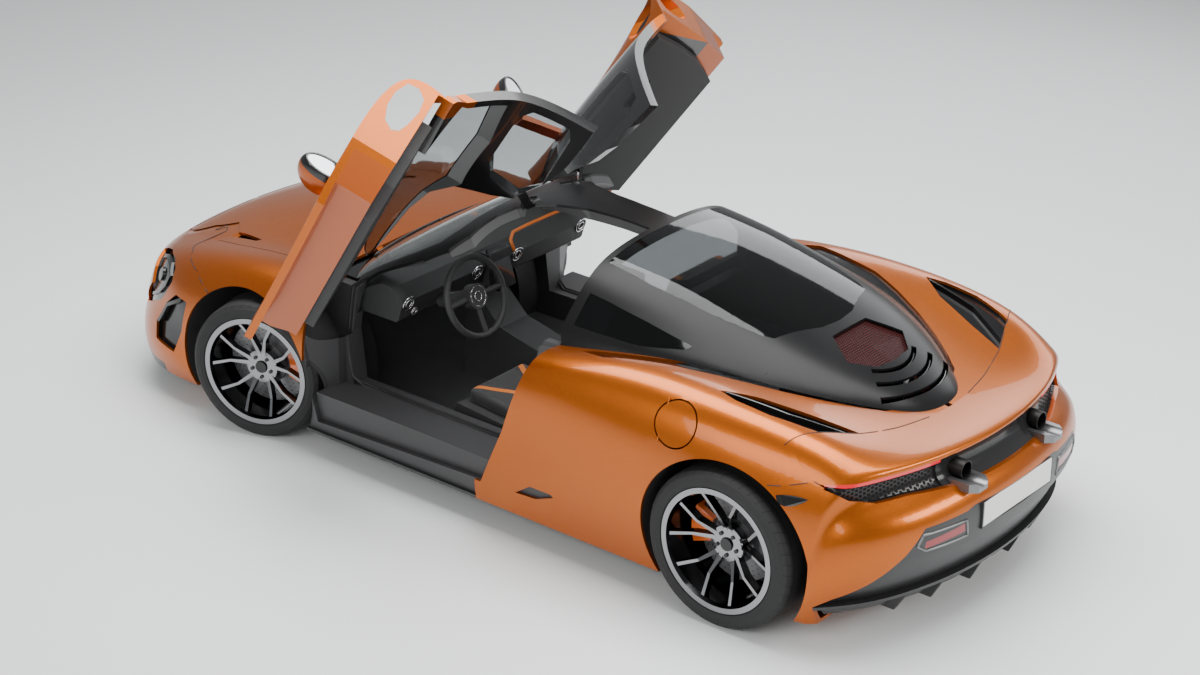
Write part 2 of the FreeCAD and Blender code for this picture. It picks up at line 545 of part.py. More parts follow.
def tail_cut(half, by=0.0):
    shape = prism_front(grow(half, by) if by else half, tail_x0, tail_x1)
    return join([shape, mirror(shape)])


band = tail_cut(band_half)
lower = tail_cut(lower_half)

# Tail panels
tail_region = prism_side(tail_line + [(-2500, 0), (tail_line[0][0], 0)], -1200, 1200)
rear_bumper = skin_shell.common(tail_region).cut(band).cut(lower)
wing_plan = [(-1690, 840), (-1758, 698), (-1832, 518), (-1885, 320), (-1918, 132), (-1926, -20)]
wing_region = prism_plan(wing_plan + [(-2600, -20), (-2600, 1000), (-1690, 1000)], 600, 1100)
wing_region = wing_region.common(prism_side([(-1672, 1000), (-1702, 880), (-1770, 800), (-1848, 744), (-2600, 600),
                                             (-2600, 1200)], 0, 1200))
wing_region = join([wing_region, mirror(wing_region)])
tail_wing = skin_shell.common(wing_region).cut(tail_region).cut(band)
rear_quarter = skin_shell.common(box(-2500, -150, 15, 1200, 0, 1300)).cut(tail_region).cut(wing_region).cut(band)
rear_quarter = rear_quarter.cut(box(-2500, 500, -1000, 890, 0, floor_z + skin))
for hole in vent_holes:
    rear_quarter = rear_quarter.cut(hole)

# Beds under the openings, each seated on the inner face of the skin round its opening
bed = body_in.cut(net_solid(body_ribs, skin + bed_t))
sunk_out = net_solid(body_ribs, sunk)
sunk_in = net_solid(body_ribs, sunk + bed_t)
sunk_bed = sunk_out.cut(sunk_in)
wall_shell = body_in.cut(sunk_in)
over_sunk = body.cut(sunk_out)


def sunk_panel(hole, rim):
    return join([wall_shell.common(rim.cut(hole)), sunk_bed.common(rim)])


leaf_bed = sunk_panel(vent_holes[0], vent_rims[0]).cut(cabin_in)
slot_bed = bed.common(vent_rims[1]).cut(cabin_in).cut(door_gap_region)
blade_face = prism_plan([(-1330, 744), (-1600, 690), (-1800, 590), (-1806, 576), (-1600, 678), (-1334, 736)], 700, 1100)
leaf_bed = join([leaf_bed, over_sunk.common(blade_face).common(vent_holes[0])])

middle_y = 385.0
band_middle = band.common(box(tail_x0, tail_x1, -middle_y, middle_y, 0, 1000))
band_rim = tail_cut(band_half, 9)
rim_middle = band_rim.common(box(tail_x0, tail_x1, -middle_y - bed_t, middle_y + bed_t, 0, 1000))
outer_rim = band_rim.cut(box(tail_x0, tail_x1, -middle_y, middle_y, 0, 1000))
tail_panel = join([bed.common(rim_middle), sunk_bed.common(outer_rim), wall_shell.common(outer_rim.cut(band)),
                   wall_shell.common(rim_middle.cut(band_middle))])
exhaust_y = 287.0
exhaust_z = 690.0
exhaust_r = 40.0
bezel_plan = [(-2130, 222), (-2130, 352), (-2240, 347), (-2271, 320), (-2271, 256), (-2240, 228)]
exhausts = []
for way in (-1, 1):
    pipe = Part.makeCylinder(exhaust_r, 120, V(-2188, way * exhaust_y, exhaust_z), V(1, 0, 0))
    tail_panel = tail_panel.cut(pipe)
    bore = Part.makeCylinder(exhaust_r - 6, 90, V(-2189, way * exhaust_y, exhaust_z), V(1, 0, 0))
    exhausts.append(pipe.cut(bore))
bezel = prism_plan(bezel_plan, 626, 664).cut(body_in)
for scoop in (Part.makeCylinder(exhaust_r + 6, 400, V(-2300, exhaust_y, exhaust_z), V(1, 0, 0)),):
    bezel = bezel.cut(scoop)
save("tail_panel", tail_panel)
led = skin_all.common(tail_cut(led_half))
reflectors = skin_all.common(tail_cut(reflector_half))
save("tail_lamps", Part.makeCompound(list(solids_of(led, 500).Solids) + list(solids_of(reflectors, 500).Solids)))
bezel = bezel.cut(rear_bumper).cut(tail_panel)
exhaust_solids = list(exhausts)
for half in (bezel, mirror(bezel)):
    exhaust_solids += [piece for piece in half.Solids if piece.Volume > 5000]
save("exhausts", Part.makeCompound(exhaust_solids))

plate_wide = 520.0
plate_high = 112.0
plate_z = 503.0
plate_seat = box(-2400, -2263, -plate_wide / 2, plate_wide / 2, plate_z - plate_high / 2, plate_z + plate_high / 2)
surround = skin_all.common(tail_cut(surround_half)).cut(tail_cut(reflector_half))
plate_back = box(-2266, -2235, -plate_wide / 2 - 6, plate_wide / 2 + 6, plate_z - plate_high / 2 - 6, plate_z + plate_high / 2 - 4)
surround = join([solids_of(surround), plate_back]).cut(plate_seat).cut(rear_bumper)
save("tail_surround", surround)

diffuser_half = [(-20, 396), (300, 400), (560, 420), (645, 445)] + lower_half[5:-1] + [(-20, 100)]
diffuser_hole = tail_cut(diffuser_half)
diffuser_rim = tail_cut(diffuser_half, 9)
diffuser = join([wall_shell.common(diffuser_rim.cut(diffuser_hole)), sunk_bed.common(diffuser_rim),
                 body.common(tail_cut(lip_half)).cut(sunk_in)])
fins = []
for fin_y in (150, 380, 560):
    fin = prism_side([(-2225, 236), (-2190, 128), (-1960, 128), (-1960, 200), (-2180, 236)], fin_y - 4, fin_y + 4)
    fins += [fin, mirror(fin)]
diffuser = join([solids_of(diffuser)] + [fin.common(body) for fin in fins]).cut(rear_bumper).cut(surround)
save("diffuser", solids_of(diffuser, 20000))

# Fuel flap: a round lid on the left haunch, hinged on a pin inside its front edge
flap_middle = V(-1218, 922, 822)
flap_out = V(-0.02, 0.898, 0.439).normalize()
flap_r = 95.0
flap_gap = 7.0
flap_hinge_in = 30.0
flap_pin_r = 3.0
flap_pin_deep = 9.0
flap_up = (V(0, 0, 1) - flap_out * flap_out.z).normalize()
flap_front = flap_up.cross(flap_out) * (-1 if flap_up.cross(flap_out).x < 0 else 1)
flap_pin_at = flap_middle + flap_front * (flap_r - flap_hinge_in) - flap_out * flap_pin_deep
flap_core = Part.makeCylinder(flap_r, 120, flap_middle - flap_out * 60, flap_out)
flap_hole = Part.makeCylinder(flap_r + flap_gap, 120, flap_middle - flap_out * 60, flap_out)
flap_bore = Part.makeCylinder(flap_pin_r + running_fit, 200, flap_pin_at - flap_up * 100, flap_up)
fuel_flap = skin_shell.common(flap_core).cut(flap_bore)
flap_pin = Part.makeCylinder(flap_pin_r, 184, flap_pin_at - flap_up * 92, flap_up)
save("fuel_flap", solids_of(fuel_flap.common(box(-1400, -1000, 500, 1200, 600, 1000)), 50000))
rear_quarter = solids_of(rear_quarter, 100000)
quarter_left = solids_of(rear_quarter.cut(flap_hole), 100000).fuse(flap_pin)
save("rear_quarters", Part.makeCompound(list(quarter_left.Solids) + list(mirror(rear_quarter).Solids)))
save("rear_bumper", rear_bumper)
save("tail_wing", tail_wing)

# Headlamps in their sockets, and the intake beds with one blade each
lamp_bed = sunk_panel(lamp_hole, lamp_rim).common(box(1600, 2300, 400, 960, 250, 720))
strip = lamp_prism([(-1060, 590), (-960, 628), (-850, 632), (-790, 590), (-815, 530), (-880, 470), (-1000, 410),
                    (-1006, 422), (-890, 482), (-830, 536), (-806, 588), (-855, 618), (-955, 614), (-1052, 577)])
lamp_strip = body_in.cut(sunk_in).common(strip)
lamp_eye = Part.makeCylinder(32, 900, lamp_across * -925 + V(0, 0, 545) + lamp_facing * 1500, lamp_facing)
lamp_eye = lamp_eye.common(body_in)
headlamp = join([solids_of(lamp_bed), lamp_strip, lamp_eye.cut(sunk_in)])
save("headlamps", both_sides(solids_of(headlamp)))
mouth_bed = join([bed.common(mouth_rim), mirror(bed.common(mouth_rim))])
intake_bed = sunk_panel(intake_hole, intake_rim)
intake_blade = prism_side([(1640, 552), (1790, 470), (1860, 362), (1838, 362), (1770, 462), (1650, 528)], 700, 1100)
intake_bed = join([intake_bed, over_sunk.common(intake_blade).common(intake_hole)])
for house in houses:
    intake_bed = intake_bed.cut(house)

# Underfloor between the bumpers
floor_top = floor_z + skin
underfloor = body.common(box(tail_line[0][0] - 205, 1618, -1200, 1200, floor_z, floor_top))
for house in houses:
    underfloor = underfloor.cut(house)
for panel in ("front_bumper", "rear_bumper", "rear_quarters", "front_fenders", "diffuser"):
    underfloor = underfloor.cut(made[panel])
jack_hole_r = 15.0
for x in (700, -850):
    for y in (770, -770):
        underfloor = underfloor.cut(Part.makeCylinder(jack_hole_r, 40, V(x, y, floor_z - 10)))
save("underfloor", underfloor)

# Tub: a carbon shell round the cabin with sills, pillars, roof spine and both bulkheads
inner_all = join([body_in, cabin_in])
cabin_space = join([box(-560, 945, -640, 640, 185, 850), cabin_void]).common(box(-560, 945, -900, 900, 185, 1300))
tub = inner_all.common(box(tub_back_x, tub_front_x, -1000, 1000, floor_top, 1300)).cut(cabin_space)
door_hole = door_gap_region.common(whole).cut(door_core_gap)
portal_outline = [(745, 318), (775, 560), (742, 770), (700, 838), (655, 858), (420, 950), (300, 1000), (205, 1060),
                  (160, 1120), (130, 1300), (-385, 1300), (-372, 1080), (-360, 900), (-330, 760), (-235, 480), (-140, 318)]
portal = prism_side(portal_outline, door_roof_y + 25, 1200)
for cutter in (door_hole, portal):
    tub = tub.cut(cutter).cut(mirror(cutter))
screen_side = [(846, 655), (668, 598), (492, 558), (396, 518), (358, 440), (330, 250), (325, 0)]
screen_plan = [(1200, 0), (1200, 655)] + screen_side
screen_half = prism_plan(screen_plan, 600, 1300)
screen_region = join([screen_half, mirror(screen_half)])
sight_plan = [(915, 0), (905, 560), (835, 600), (664, 556), (500, 520), (424, 478), (392, 400), (368, 240), (365, 0)]
sight_half = prism_plan(sight_plan, 812, 1300)
screen_hole = join([sight_half, mirror(sight_half)])
rear_view_hole = prism_plan([(-470, -380), (-470, 380), (-700, 360), (-700, -360)], 900, 1300)
pocket = Part.makeCylinder(hinge_pocket_r, 330, hinge_foot - hinge_way * 130, hinge_way)
pocket = pocket.common(box(600, tub_front_x - 12, 690, 1200, 300, 1300))
under_bonnet = body_in.cut(body_deep).common(box(bonnet_back_x, 2500, -680, 680, 500, 1300))
eye_pocket = Part.makeCylinder(72, eye_length + 24, on_hinge(eye_start - 12), hinge_way)
hinge_pin = Part.makeCylinder(hinge_pin_r, eye_length + 60, on_hinge(eye_start - 30), hinge_way)
tub = tub.cut(under_bonnet).cut(screen_hole).cut(rear_view_hole).cut(pocket).cut(mirror(pocket))
tub = tub.cut(eye_pocket).cut(mirror(eye_pocket))
scuttle = box(bonnet_back_x, tub_front_x + 20, -690, 690, 742, 900)
tub = tub.cut(scuttle)
bonnet_pins = []
for way in (-1, 1):
    bonnet_pins.append(Part.makeCylinder(lid_pin_r, 70, V(lid_pin_x, way * lid_pin_y - 35, lid_pin_z), V(0, 1, 0)))
    for side in (-1, 1):
        bracket_y = way * lid_pin_y + side * 29
        bonnet_pins.append(box(lid_pin_x - 10, lid_pin_x + 10, bracket_y - 6, bracket_y + 6, 736, lid_pin_z + 8))
tub = join([solids_of(tub, 50000), hinge_pin, mirror(hinge_pin)] + bonnet_pins)
liner = 8.0


def house_shape(spec, inner_y, grow_by):
    return Part.makeCylinder(spec[2] + grow_by, 700, V(spec[0], inner_y - grow_by, spec[1]), V(0, 1, 0))


for spec, inner_y in ((front_arch, front_house_y), (rear_arch, rear_house_y)):
    around = house_shape(spec, inner_y, liner)
    tub = tub.cut(around).cut(mirror(around))
save("tub", tub)
beds = [solids_of(leaf_bed), solids_of(slot_bed.cut(tub)), solids_of(intake_bed)]
vent_solids = [piece for panel in beds for piece in both_sides(panel).Solids]
save("vents", Part.makeCompound(vent_solids + list(solids_of(mouth_bed.cut(underfloor)).Solids)))

# Wheel-house liners
liners = []
for spec, inner_y in ((front_arch, front_house_y), (rear_arch, rear_house_y)):
    tray = house_shape(spec, inner_y, liner).cut(house_shape(spec, inner_y, 0)).common(body_in)
    tray = tray.common(box(-3000, 3000, 0, 1000, floor_top, 1300)).cut(cabin_in).cut(door_gap_region)
    tray = tray.cut(box(spec[0] - 170, spec[0] + 170, inner_y - 20, inner_y + 5, 160, 520))
    liners.append(tray)

# Windscreen
windscreen = cabin.cut(cabin_glass_in).common(screen_region).cut(body).cut(box(bonnet_back_x, 1300, -900, 900, 0, 1300))
save("windscreen", windscreen)

# Canopy behind the doors: frame, rear screen and quarter glass
canopy_front_x = -427.0
canopy_shell = cabin.cut(cabin_in).cut(body).cut(made["bonnet"])
glass_shell = cabin.cut(cabin_glass_in).cut(body)
rear_glass_plan = [(-455, 0), (-455, 405), (-700, 412), (-1000, 392), (-1215, 356), (-1268, 330), (-1310, 210),
                   (-1352, 110), (-1364, 0)]
rear_glass_region = prism_plan(rear_glass_plan + [(x, -y) for x, y in reversed(rear_glass_plan[1:-1])], 880, 1300)
quarter_outline = [(-470, 940), (-470, 1050), (-560, 1040), (-760, 1010), (-1010, 965), (-990, 952), (-800, 935)]
quarter_region = prism_side(quarter_outline, 400, 900)
seam_half = [(-1386, -20), (-1372, 119), (-1328, 228), (-1293, 351), (-1224, 472), (-1150, 640)]
cover_half = prism_plan(seam_half + [(-2200, 640), (-2200, -20)], 600, 1300)
cover_region = join([cover_half, mirror(cover_half)])
canopy_frame = canopy_shell.common(box(-1900, canopy_front_x, -900, 900, 600, 1300)).cut(cover_region)
canopy_frame = canopy_frame.cut(door_gap_region).cut(mirror(door_gap_region)).cut(rear_glass_region).cut(quarter_region).cut(mirror(quarter_region))
header = canopy_shell.common(box(canopy_front_x, 1000, -1000, 1000, 600, 1300))
header = header.cut(door_gap_region).cut(mirror(door_gap_region)).cut(screen_region)
save("canopy_frame", canopy_frame)
header = header.cut(box(bonnet_back_x, 1300, -900, 900, 600, 1300))
save("roof_frame", join([header, cowl]).cut(eye_pocket).cut(mirror(eye_pocket)).cut(made["tub"]))
save("rear_screen", glass_shell.common(rear_glass_region))
quarter_glass = glass_shell.common(quarter_region)
save("quarter_glass", both_sides(solids_of(quarter_glass)))

# Engine cover with its window and louvres
engine_cover = canopy_shell.common(cover_region)
cover_window = prism_plan([(-1412, -120), (-1412, 120), (-1545, 205), (-1635, 115), (-1648, 0), (-1635, -115),
                           (-1545, -205)], 860, 1100)
engine_cover = engine_cover.cut(cover_window)
louvre_wedge = prism_plan([(-1440, 0), (-2140, 560), (-2140, -560)], 700, 1100)
for louvre_r in (238, 306, 374):
    gap_ring = Part.makeCylinder(louvre_r + 22, 400, V(-1440, 0, 700))
    gap_ring = gap_ring.cut(Part.makeCylinder(louvre_r, 400, V(-1440, 0, 700)))
    engine_cover = engine_cover.cut(gap_ring.common(louvre_wedge))
engine_cover = solids_of(engine_cover)
save("engine_cover", engine_cover)

# Luggage tray in the nose, under the bonnet
tray_out = box(tub_front_x, 1800, -430, 430, 240, 660)
tray_in = box(tub_front_x + 12, 1788, -418, 418, 252, 700)
front_tray = tray_out.cut(tray_in).common(body_deep)
save("front_tray", front_tray)

# Engine as one plain block, with the rear frame that carries it and the rear suspension
engine = join([box(-1230, -640, -300, 300, 200, 720), box(-1700, -1230, -190, 190, 230, 560)])
save("engine", engine)
rail = box(-1990, tub_back_x, 330, 400, 240, 380)
cross = box(-1990, -1930, -400, 400, 240, 380)
engine_mount = join([box(-900, -840, 300, 330, 300, 380), box(-1560, -1500, 190, 330, 300, 380)])
rear_frame = join([rail, mirror(rail), cross, engine_mount, mirror(engine_mount)]).common(body_in)
save("rear_frame", rear_frame)
save("wheel_liners", Part.makeCompound([s for t in liners for s in both_sides(solids_of(t)).Solids]))

# Wheel parts, built round the Y axis with the outer face towards +Y
def tyre(seat_r, outer_r, width):
    half = width / 2
    bulge = half
    bead = half - 14
    lip = seat_r + rim_lip
    profile = [(seat_r, -bead + 0.3), (lip + 1, -bead + 0.3), (lip + 6, -half + 4), ((seat_r + outer_r) / 2, -bulge),
               (outer_r - 22, -half + 5), (outer_r - 5, -half + 20), (outer_r, -half + 45),
               (outer_r, half - 45), (outer_r - 5, half - 20), (outer_r - 22, half - 5),
               ((seat_r + outer_r) / 2, bulge), (lip + 6, half - 4), (lip + 1, bead - 0.3), (seat_r, bead - 0.3)]
    return ring(profile)


def rim(seat_r, width, hub_depth):
    half = width / 2
    lip = seat_r + rim_lip
    bead = half - 14
    profile = [(seat_r - 3, -bead - 8), (lip - 3, -bead - 8), (lip - 3, -bead), (seat_r, -bead), (seat_r, bead),
               (lip, bead), (lip, bead + 7), (seat_r - 6, bead + 7), (seat_r - 14, bead - 12), (seat_r - 14, -bead + 10)]
    barrel = ring(profile)
    face = bead - 2
    hub_y = face - hub_depth
    dish = ring([(24, hub_y - 44), (72, hub_y - 44), (80, hub_y - 30), (seat_r - 8, face - 44), (seat_r - 8, face - 6),
                 (150, face - 22 - hub_depth * 0.18), (72, hub_y), (24, hub_y)])
    hub = ring([(0, hub_y - 44), (78, hub_y - 44), (78, hub_y - 4), (60, hub_y), (0, hub_y)])
    spokes = []
    for k in range(5):
        for side in (-1, 1):
            root = math.radians(72 * k + 90 + side * 9)
            tip = math.radians(72 * k + 90 + side * 20)
            points = []
            for r, a, w in ((58, root, 10), (150, root * 0.62 + tip * 0.38, 6.5), (seat_r - 6, tip, 7.5)):
                points.append((r * math.cos(a), r * math.sin(a), w, a))
            left = [(x - w * math.sin(a), z + w * math.cos(a)) for x, z, w, a in points]
            right = [(x + w * math.sin(a), z - w * math.cos(a)) for x, z, w, a in points]
            spokes.append(prism_side(left + right[::-1], -200, 200).common(dish))
    return join([barrel, hub] + spokes)


def disc(r, y):
    return ring([(78, y - 17), (r, y - 17), (r, y + 17), (100, y + 17), (100, y + 50), (50, y + 50), (50, y + 38),
                 (78, y + 38)])


def placed(shape, x, y, z, side, steer=0.0):
    # Steering turns the wheel about its kingpin, which stands king_offset inboard of the wheel's middle.
    out = shape if side > 0 else shape.rotated(V(0, 0, 0), V(0, 0, 1), 180)
    out = out.rotated(V(0, -side * king_offset, 0), V(0, 0, 1), steer)
    return out.translated(V(x, side * y, z))


axles = (("front", front_axle_x, front_track / 2, front_tyre_r, front_tyre_w, front_seat_r, rest_steer, 54, 197),
         ("rear", rear_axle_x, rear_track / 2, rear_tyre_r, rear_tyre_w, rear_seat_r, 0.0, 71, 190))
for end, x, y, r, w, seat_r, steer, hub_depth, disc_r in axles:
    tyre_shape = tyre(seat_r, r, w)
    rim_shape = rim(seat_r, w, hub_depth)
    hub_y = w / 2 - 16 - hub_depth
    disc_shape = disc(disc_r, hub_y - 44 - 50)
    for side, name in ((1, "left"), (-1, "right")):
        save("tyre_" + end + "_" + name, placed(tyre_shape, x, y, r, side, steer))
        save("rim_" + end + "_" + name, placed(rim_shape, x, y, r, side, steer))
        save("disc_" + end + "_" + name, placed(disc_shape, x, y, r, side, steer))
    # The upright's spindle runs in the disc bell's middle; its calliper straddles the disc
    bell_y = hub_y - 44 - 50
    back = -1 if end == "front" else 1
    spindle = Part.makeCylinder(49.6, 72, V(0, bell_y - 32, 0), V(0, 1, 0))
    upright = join([spindle, box(-45, 45, bell_y - 75, bell_y - 30, -130, 150)])
    arc_out = ring([(disc_r - 72, bell_y - 50), (disc_r + 22, bell_y - 50), (disc_r + 22, bell_y + 50),
                    (disc_r - 72, bell_y + 50)])
    arc_in = ring([(disc_r - 80, bell_y - 23), (disc_r + 8, bell_y - 23), (disc_r + 8, bell_y + 23),
                   (disc_r - 80, bell_y + 23)])
    wedge = prism_side([(back * 30, -10), (back * 400, -150), (back * 400, 200), (back * 40, 30)], -300, 300)
    caliper = arc_out.cut(arc_in).common(wedge)
    arm = box(min(0, back * 150), max(0, back * 150), bell_y - 75, bell_y - 50, -20, 45)
    upright = join([upright, arm]).cut(caliper)
    pairs = (("upright", upright), ("caliper", caliper))
    for node, shape in pairs:
        left_piece = placed(shape, x, y, r, 1, steer)
        right_piece = mirror(placed(shape, x, y, r, 1, -steer))
        if end == "rear":
            save(node + "s_rear", Part.makeCompound([left_piece, right_piece]))
        else:
            save(node + "_front_left", left_piece)
            save(node + "_front_right", right_piece)

# Wishbones, from the nose tray and the rear frame out to the uprights
arms = []
pin_x = front_axle_x
pin_y = front_track / 2 - king_offset
for z, foot in ((front_tyre_r - 130.3 - 16, 60), (front_tyre_r + 150.3, 60)):
    boss = Part.makeCylinder(12, 16, V(pin_x, pin_y, z))
    legs = [bar(V(front_axle_x + way * 110, 426, z + 8), V(pin_x, pin_y, z + 8), 7.5) for way in (-1, 1)]
    arms.append(join([boss] + legs).cut(front_tray))
rear_face = rear_track / 2 + (rear_tyre_w / 2 - 16 - 71 - 94) - 75
for z in (rear_tyre_r - 100, rear_tyre_r + 10):
    legs = [bar(V(rear_axle_x + way * 110, 390, z), V(rear_axle_x + way * 12, rear_face + 10, z), 10) for way in (-1, 1)]
    arms.append(join(legs).cut(rear_frame).cut(box(-1600, -1300, rear_face, 900, 0, 900)))
wishbones = both_sides(Part.makeCompound([solid for arm in arms for solid in arm.Solids]))
save("wishbones", wishbones)

# Steering wheel, upright in front of the driver on the left
steer_centre = V(330, 365, 745)
steer_axis = V(-math.cos(math.radians(21)), 0, math.sin(math.radians(21)))
wheel_rim = Part.makeTorus(178, 15, steer_centre, steer_axis)
boss = Part.makeCylinder(58, 45, steer_centre - steer_axis * 30, steer_axis)
spokes = [bar(steer_centre - steer_axis * 8, steer_centre + V(0, way * 172, 0) - steer_axis * 2, 13) for way in (-1, 1)]
down = steer_axis.cross(V(0, 1, 0))
spokes.append(bar(steer_centre - steer_axis * 8, steer_centre + down * (172 if down.z < 0 else -172), 12))
steering_wheel = join([wheel_rim, boss] + spokes)
save("steering_wheel", steering_wheel)

# Dashboard with its column, binnacle and screen
dash_profile = [(940, 560), (940, 770), (860, 800), (700, 820), (585, 800), (520, 745), (545, 660), (640, 560)]
dashboard = prism_side(dash_profile, -640, 640)
column = bar(steer_centre - steer_axis * 220, steer_centre - steer_axis * 30.3, 34)
screen_block = box(505, 560, -75, 75, 560, 800)
dashboard = join([dashboard, column, screen_block]).common(cabin_void)
console = prism_side([(-200, 185), (640, 185), (640, 560), (560, 600), (420, 470), (200, 420), (-200, 400)], -95, 95)
save("dashboard", join([dashboard, console]).cut(made["tub"]))

# Seats: a shell each, with one cushion pad and one back pad
seat_y = 365.0
seat_shell_profile = [(240, 185), (260, 300), (235, 335), (-180, 300), (-215, 330), (-420, 870), (-470, 885),
                      (-500, 860), (-300, 185)]
seat_left = prism_side(seat_shell_profile, seat_y - 235, seat_y + 235)
seat_left = seat_left.cut(prism_side([(300, 330), (225, 330), (-185, 294), (-215, 330), (-400, 850), (-200, 900),
                                      (400, 900)], seat_y - 190, seat_y + 190))
save("seats", both_sides(seat_left))

cushion = prism_side([(215, 329.4), (-170, 295.6), (-182, 356), (215, 400)], seat_y - 185, seat_y + 185)
back_pad = prism_side([(-224.9, 357), (-405.3, 832), (-330, 845), (-142, 376)], seat_y - 185, seat_y + 185)
save("seat_cushions", both_sides(cushion.makeFillet(20, cushion.Edges)))
save("seat_backs", both_sides(back_pad.makeFillet(20, back_pad.Edges)))
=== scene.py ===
import math

import bmesh
import bpy
from mathutils import Matrix, Vector
from mathutils.bvhtree import BVHTree


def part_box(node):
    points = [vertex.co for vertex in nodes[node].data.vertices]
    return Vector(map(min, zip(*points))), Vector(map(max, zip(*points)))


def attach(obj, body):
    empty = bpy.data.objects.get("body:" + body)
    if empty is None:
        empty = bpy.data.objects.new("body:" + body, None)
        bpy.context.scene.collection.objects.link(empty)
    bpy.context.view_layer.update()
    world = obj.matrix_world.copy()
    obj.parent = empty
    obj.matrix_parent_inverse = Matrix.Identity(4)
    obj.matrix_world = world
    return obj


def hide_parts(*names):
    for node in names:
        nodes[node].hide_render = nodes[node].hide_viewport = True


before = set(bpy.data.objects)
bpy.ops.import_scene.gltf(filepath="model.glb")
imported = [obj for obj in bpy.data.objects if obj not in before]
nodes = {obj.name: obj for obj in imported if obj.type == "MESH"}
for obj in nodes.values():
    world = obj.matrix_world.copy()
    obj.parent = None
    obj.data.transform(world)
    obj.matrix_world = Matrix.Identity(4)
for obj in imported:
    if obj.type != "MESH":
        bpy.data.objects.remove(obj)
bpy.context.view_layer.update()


class Sock:
    """A shader socket with arithmetic, so that the patterns below read as sums."""

    def __init__(self, tree, socket):
        self.tree = tree
        self.socket = socket

    def math(self, operation, *others):
        node = self.tree.nodes.new("ShaderNodeMath")
        node.operation = operation
        for slot, value in zip(node.inputs, (self,) + others):
            if isinstance(value, Sock):
                self.tree.links.new(value.socket, slot)
            else:
                slot.default_value = value
        return Sock(self.tree, node.outputs[0])

    def __add__(self, other):
        return self.math("ADD", other)

    def __sub__(self, other):
        return self.math("SUBTRACT", other)

    def __mul__(self, other):
        return self.math("MULTIPLY", other)

    def __lt__(self, other):
        return self.math("LESS_THAN", other)

    def __gt__(self, other):
        return self.math("GREATER_THAN", other)


class Finish:
    """A material with one Principled shader. node() adds any other node and returns its socket."""

    def __init__(self, name, colour, roughness, metallic=0.0, **constants):
        self.material = bpy.data.materials.new(name)
        self.material.use_nodes = True
        self.tree = self.material.node_tree
        self.shader = self.tree.nodes["Principled BSDF"]
        self.base = tuple(colour) + (1.0,)
        self.set(Base_Color=self.base, Roughness=roughness, Metallic=metallic, **constants)

    def set(self, **inputs):
        for key, value in inputs.items():
            self.put(self.shader.inputs[key.replace("_", " ")], value)

    def put(self, slot, value):
        if isinstance(value, Sock):
            self.tree.links.new(value.socket, slot)
        else:
            slot.default_value = value

    def node(self, kind, out=0, settings=(), **inputs):
        node = self.tree.nodes.new("ShaderNode" + kind)
        for key, value in dict(settings).items():
            setattr(node, key, value)
        for key, value in inputs.items():
            self.put(node.inputs[key.replace("_", " ")], value)
        return Sock(self.tree, node.outputs[out])

    def place(self):
        return self.node("TexCoord", "Object")

    def noise(self, scale, detail=3.0, where=None):
        return self.node("TexNoise", "Fac", Scale=scale, Detail=detail, Vector=where or self.place())

    def tint(self, factor, other):
        node = self.tree.nodes.new("ShaderNodeMix")
        node.data_type = "RGBA"
        self.put(node.inputs[0], factor)
        node.inputs[6].default_value = self.base
        node.inputs[7].default_value = tuple(other) + (1.0,)
        mixed = Sock(self.tree, node.outputs[2])
        self.set(Base_Color=mixed)
        return mixed

    def bump(self, height, distance, strength=1.0):
        self.set(Normal=self.node("Bump", "Normal", Strength=strength, Distance=distance, Height=height))

    def give(self, *names):
        for name in names:
            thing = nodes[name] if isinstance(name, str) else name
            if not thing.material_slots:
                thing.data.materials.append(self.material)
            for slot in thing.material_slots:
                slot.material = self.material


# Materials

# Metallic orange under a clear coat: fine flakes change its gloss, and its tone drifts slowly.
# The front bumper's chin is black below the lip
paint = Finish("paint", (0.38, 0.070, 0.0), 0.34, 0.8, Coat_Weight=0.4, Coat_Roughness=0.03)
chin_paint = Finish("chin_paint", (0.38, 0.070, 0.0), 0.34, 0.8, Coat_Weight=0.4, Coat_Roughness=0.03)
for finish in (paint, chin_paint):
    flake = finish.node("TexVoronoi", "Color", Scale=1400.0, Vector=finish.place())
    flake = finish.node("SeparateColor", 0, Color=flake)
    toned = finish.tint(finish.noise(1.3) * 0.35 + flake * 0.18, (0.62, 0.160, 0.0))
    finish.set(Roughness=flake * 0.14 + 0.25)
low = chin_paint.node("SeparateXYZ", "Z", Vector=chin_paint.place()) < 0.166
fore = chin_paint.node("SeparateXYZ", "X", Vector=chin_paint.place()) > 1.8
chin = chin_paint.tree.nodes.new("ShaderNodeMix")
chin.data_type = "RGBA"
chin_paint.put(chin.inputs[0], low * fore)
chin_paint.put(chin.inputs[6], toned)
chin.inputs[7].default_value = (0.006, 0.006, 0.006, 1.0)
chin_paint.set(Base_Color=Sock(chin_paint.tree, chin.outputs[2]))

# Satin black of the rear frame, underfloor, wishbones and tail, with a trace of orange peel
satin_black = Finish("satin_black", (0.018, 0.018, 0.019), 0.42, Coat_Weight=0.25, Coat_Roughness=0.25)
satin_black.set(Roughness=satin_black.noise(6.0) * 0.16 + 0.34)
satin_black.bump(satin_black.noise(260.0), 0.0004, 0.3)

# Roof rails and engine cover: black lacquer with a soft sheen
roof_black = Finish("roof_black", (0.007, 0.007, 0.0075), 0.3, Specular_IOR_Level=0.2)
roof_black.set(Roughness=roof_black.noise(5.0) * 0.12 + 0.24)

# The tub is a shade lighter, so that its seals stand out
shell_grey = Finish("shell_grey", (0.040, 0.040, 0.042), 0.45)
shell_grey.set(Roughness=shell_grey.noise(6.0) * 0.14 + 0.38)
shell_grey.bump(shell_grey.noise(260.0), 0.0004, 0.3)

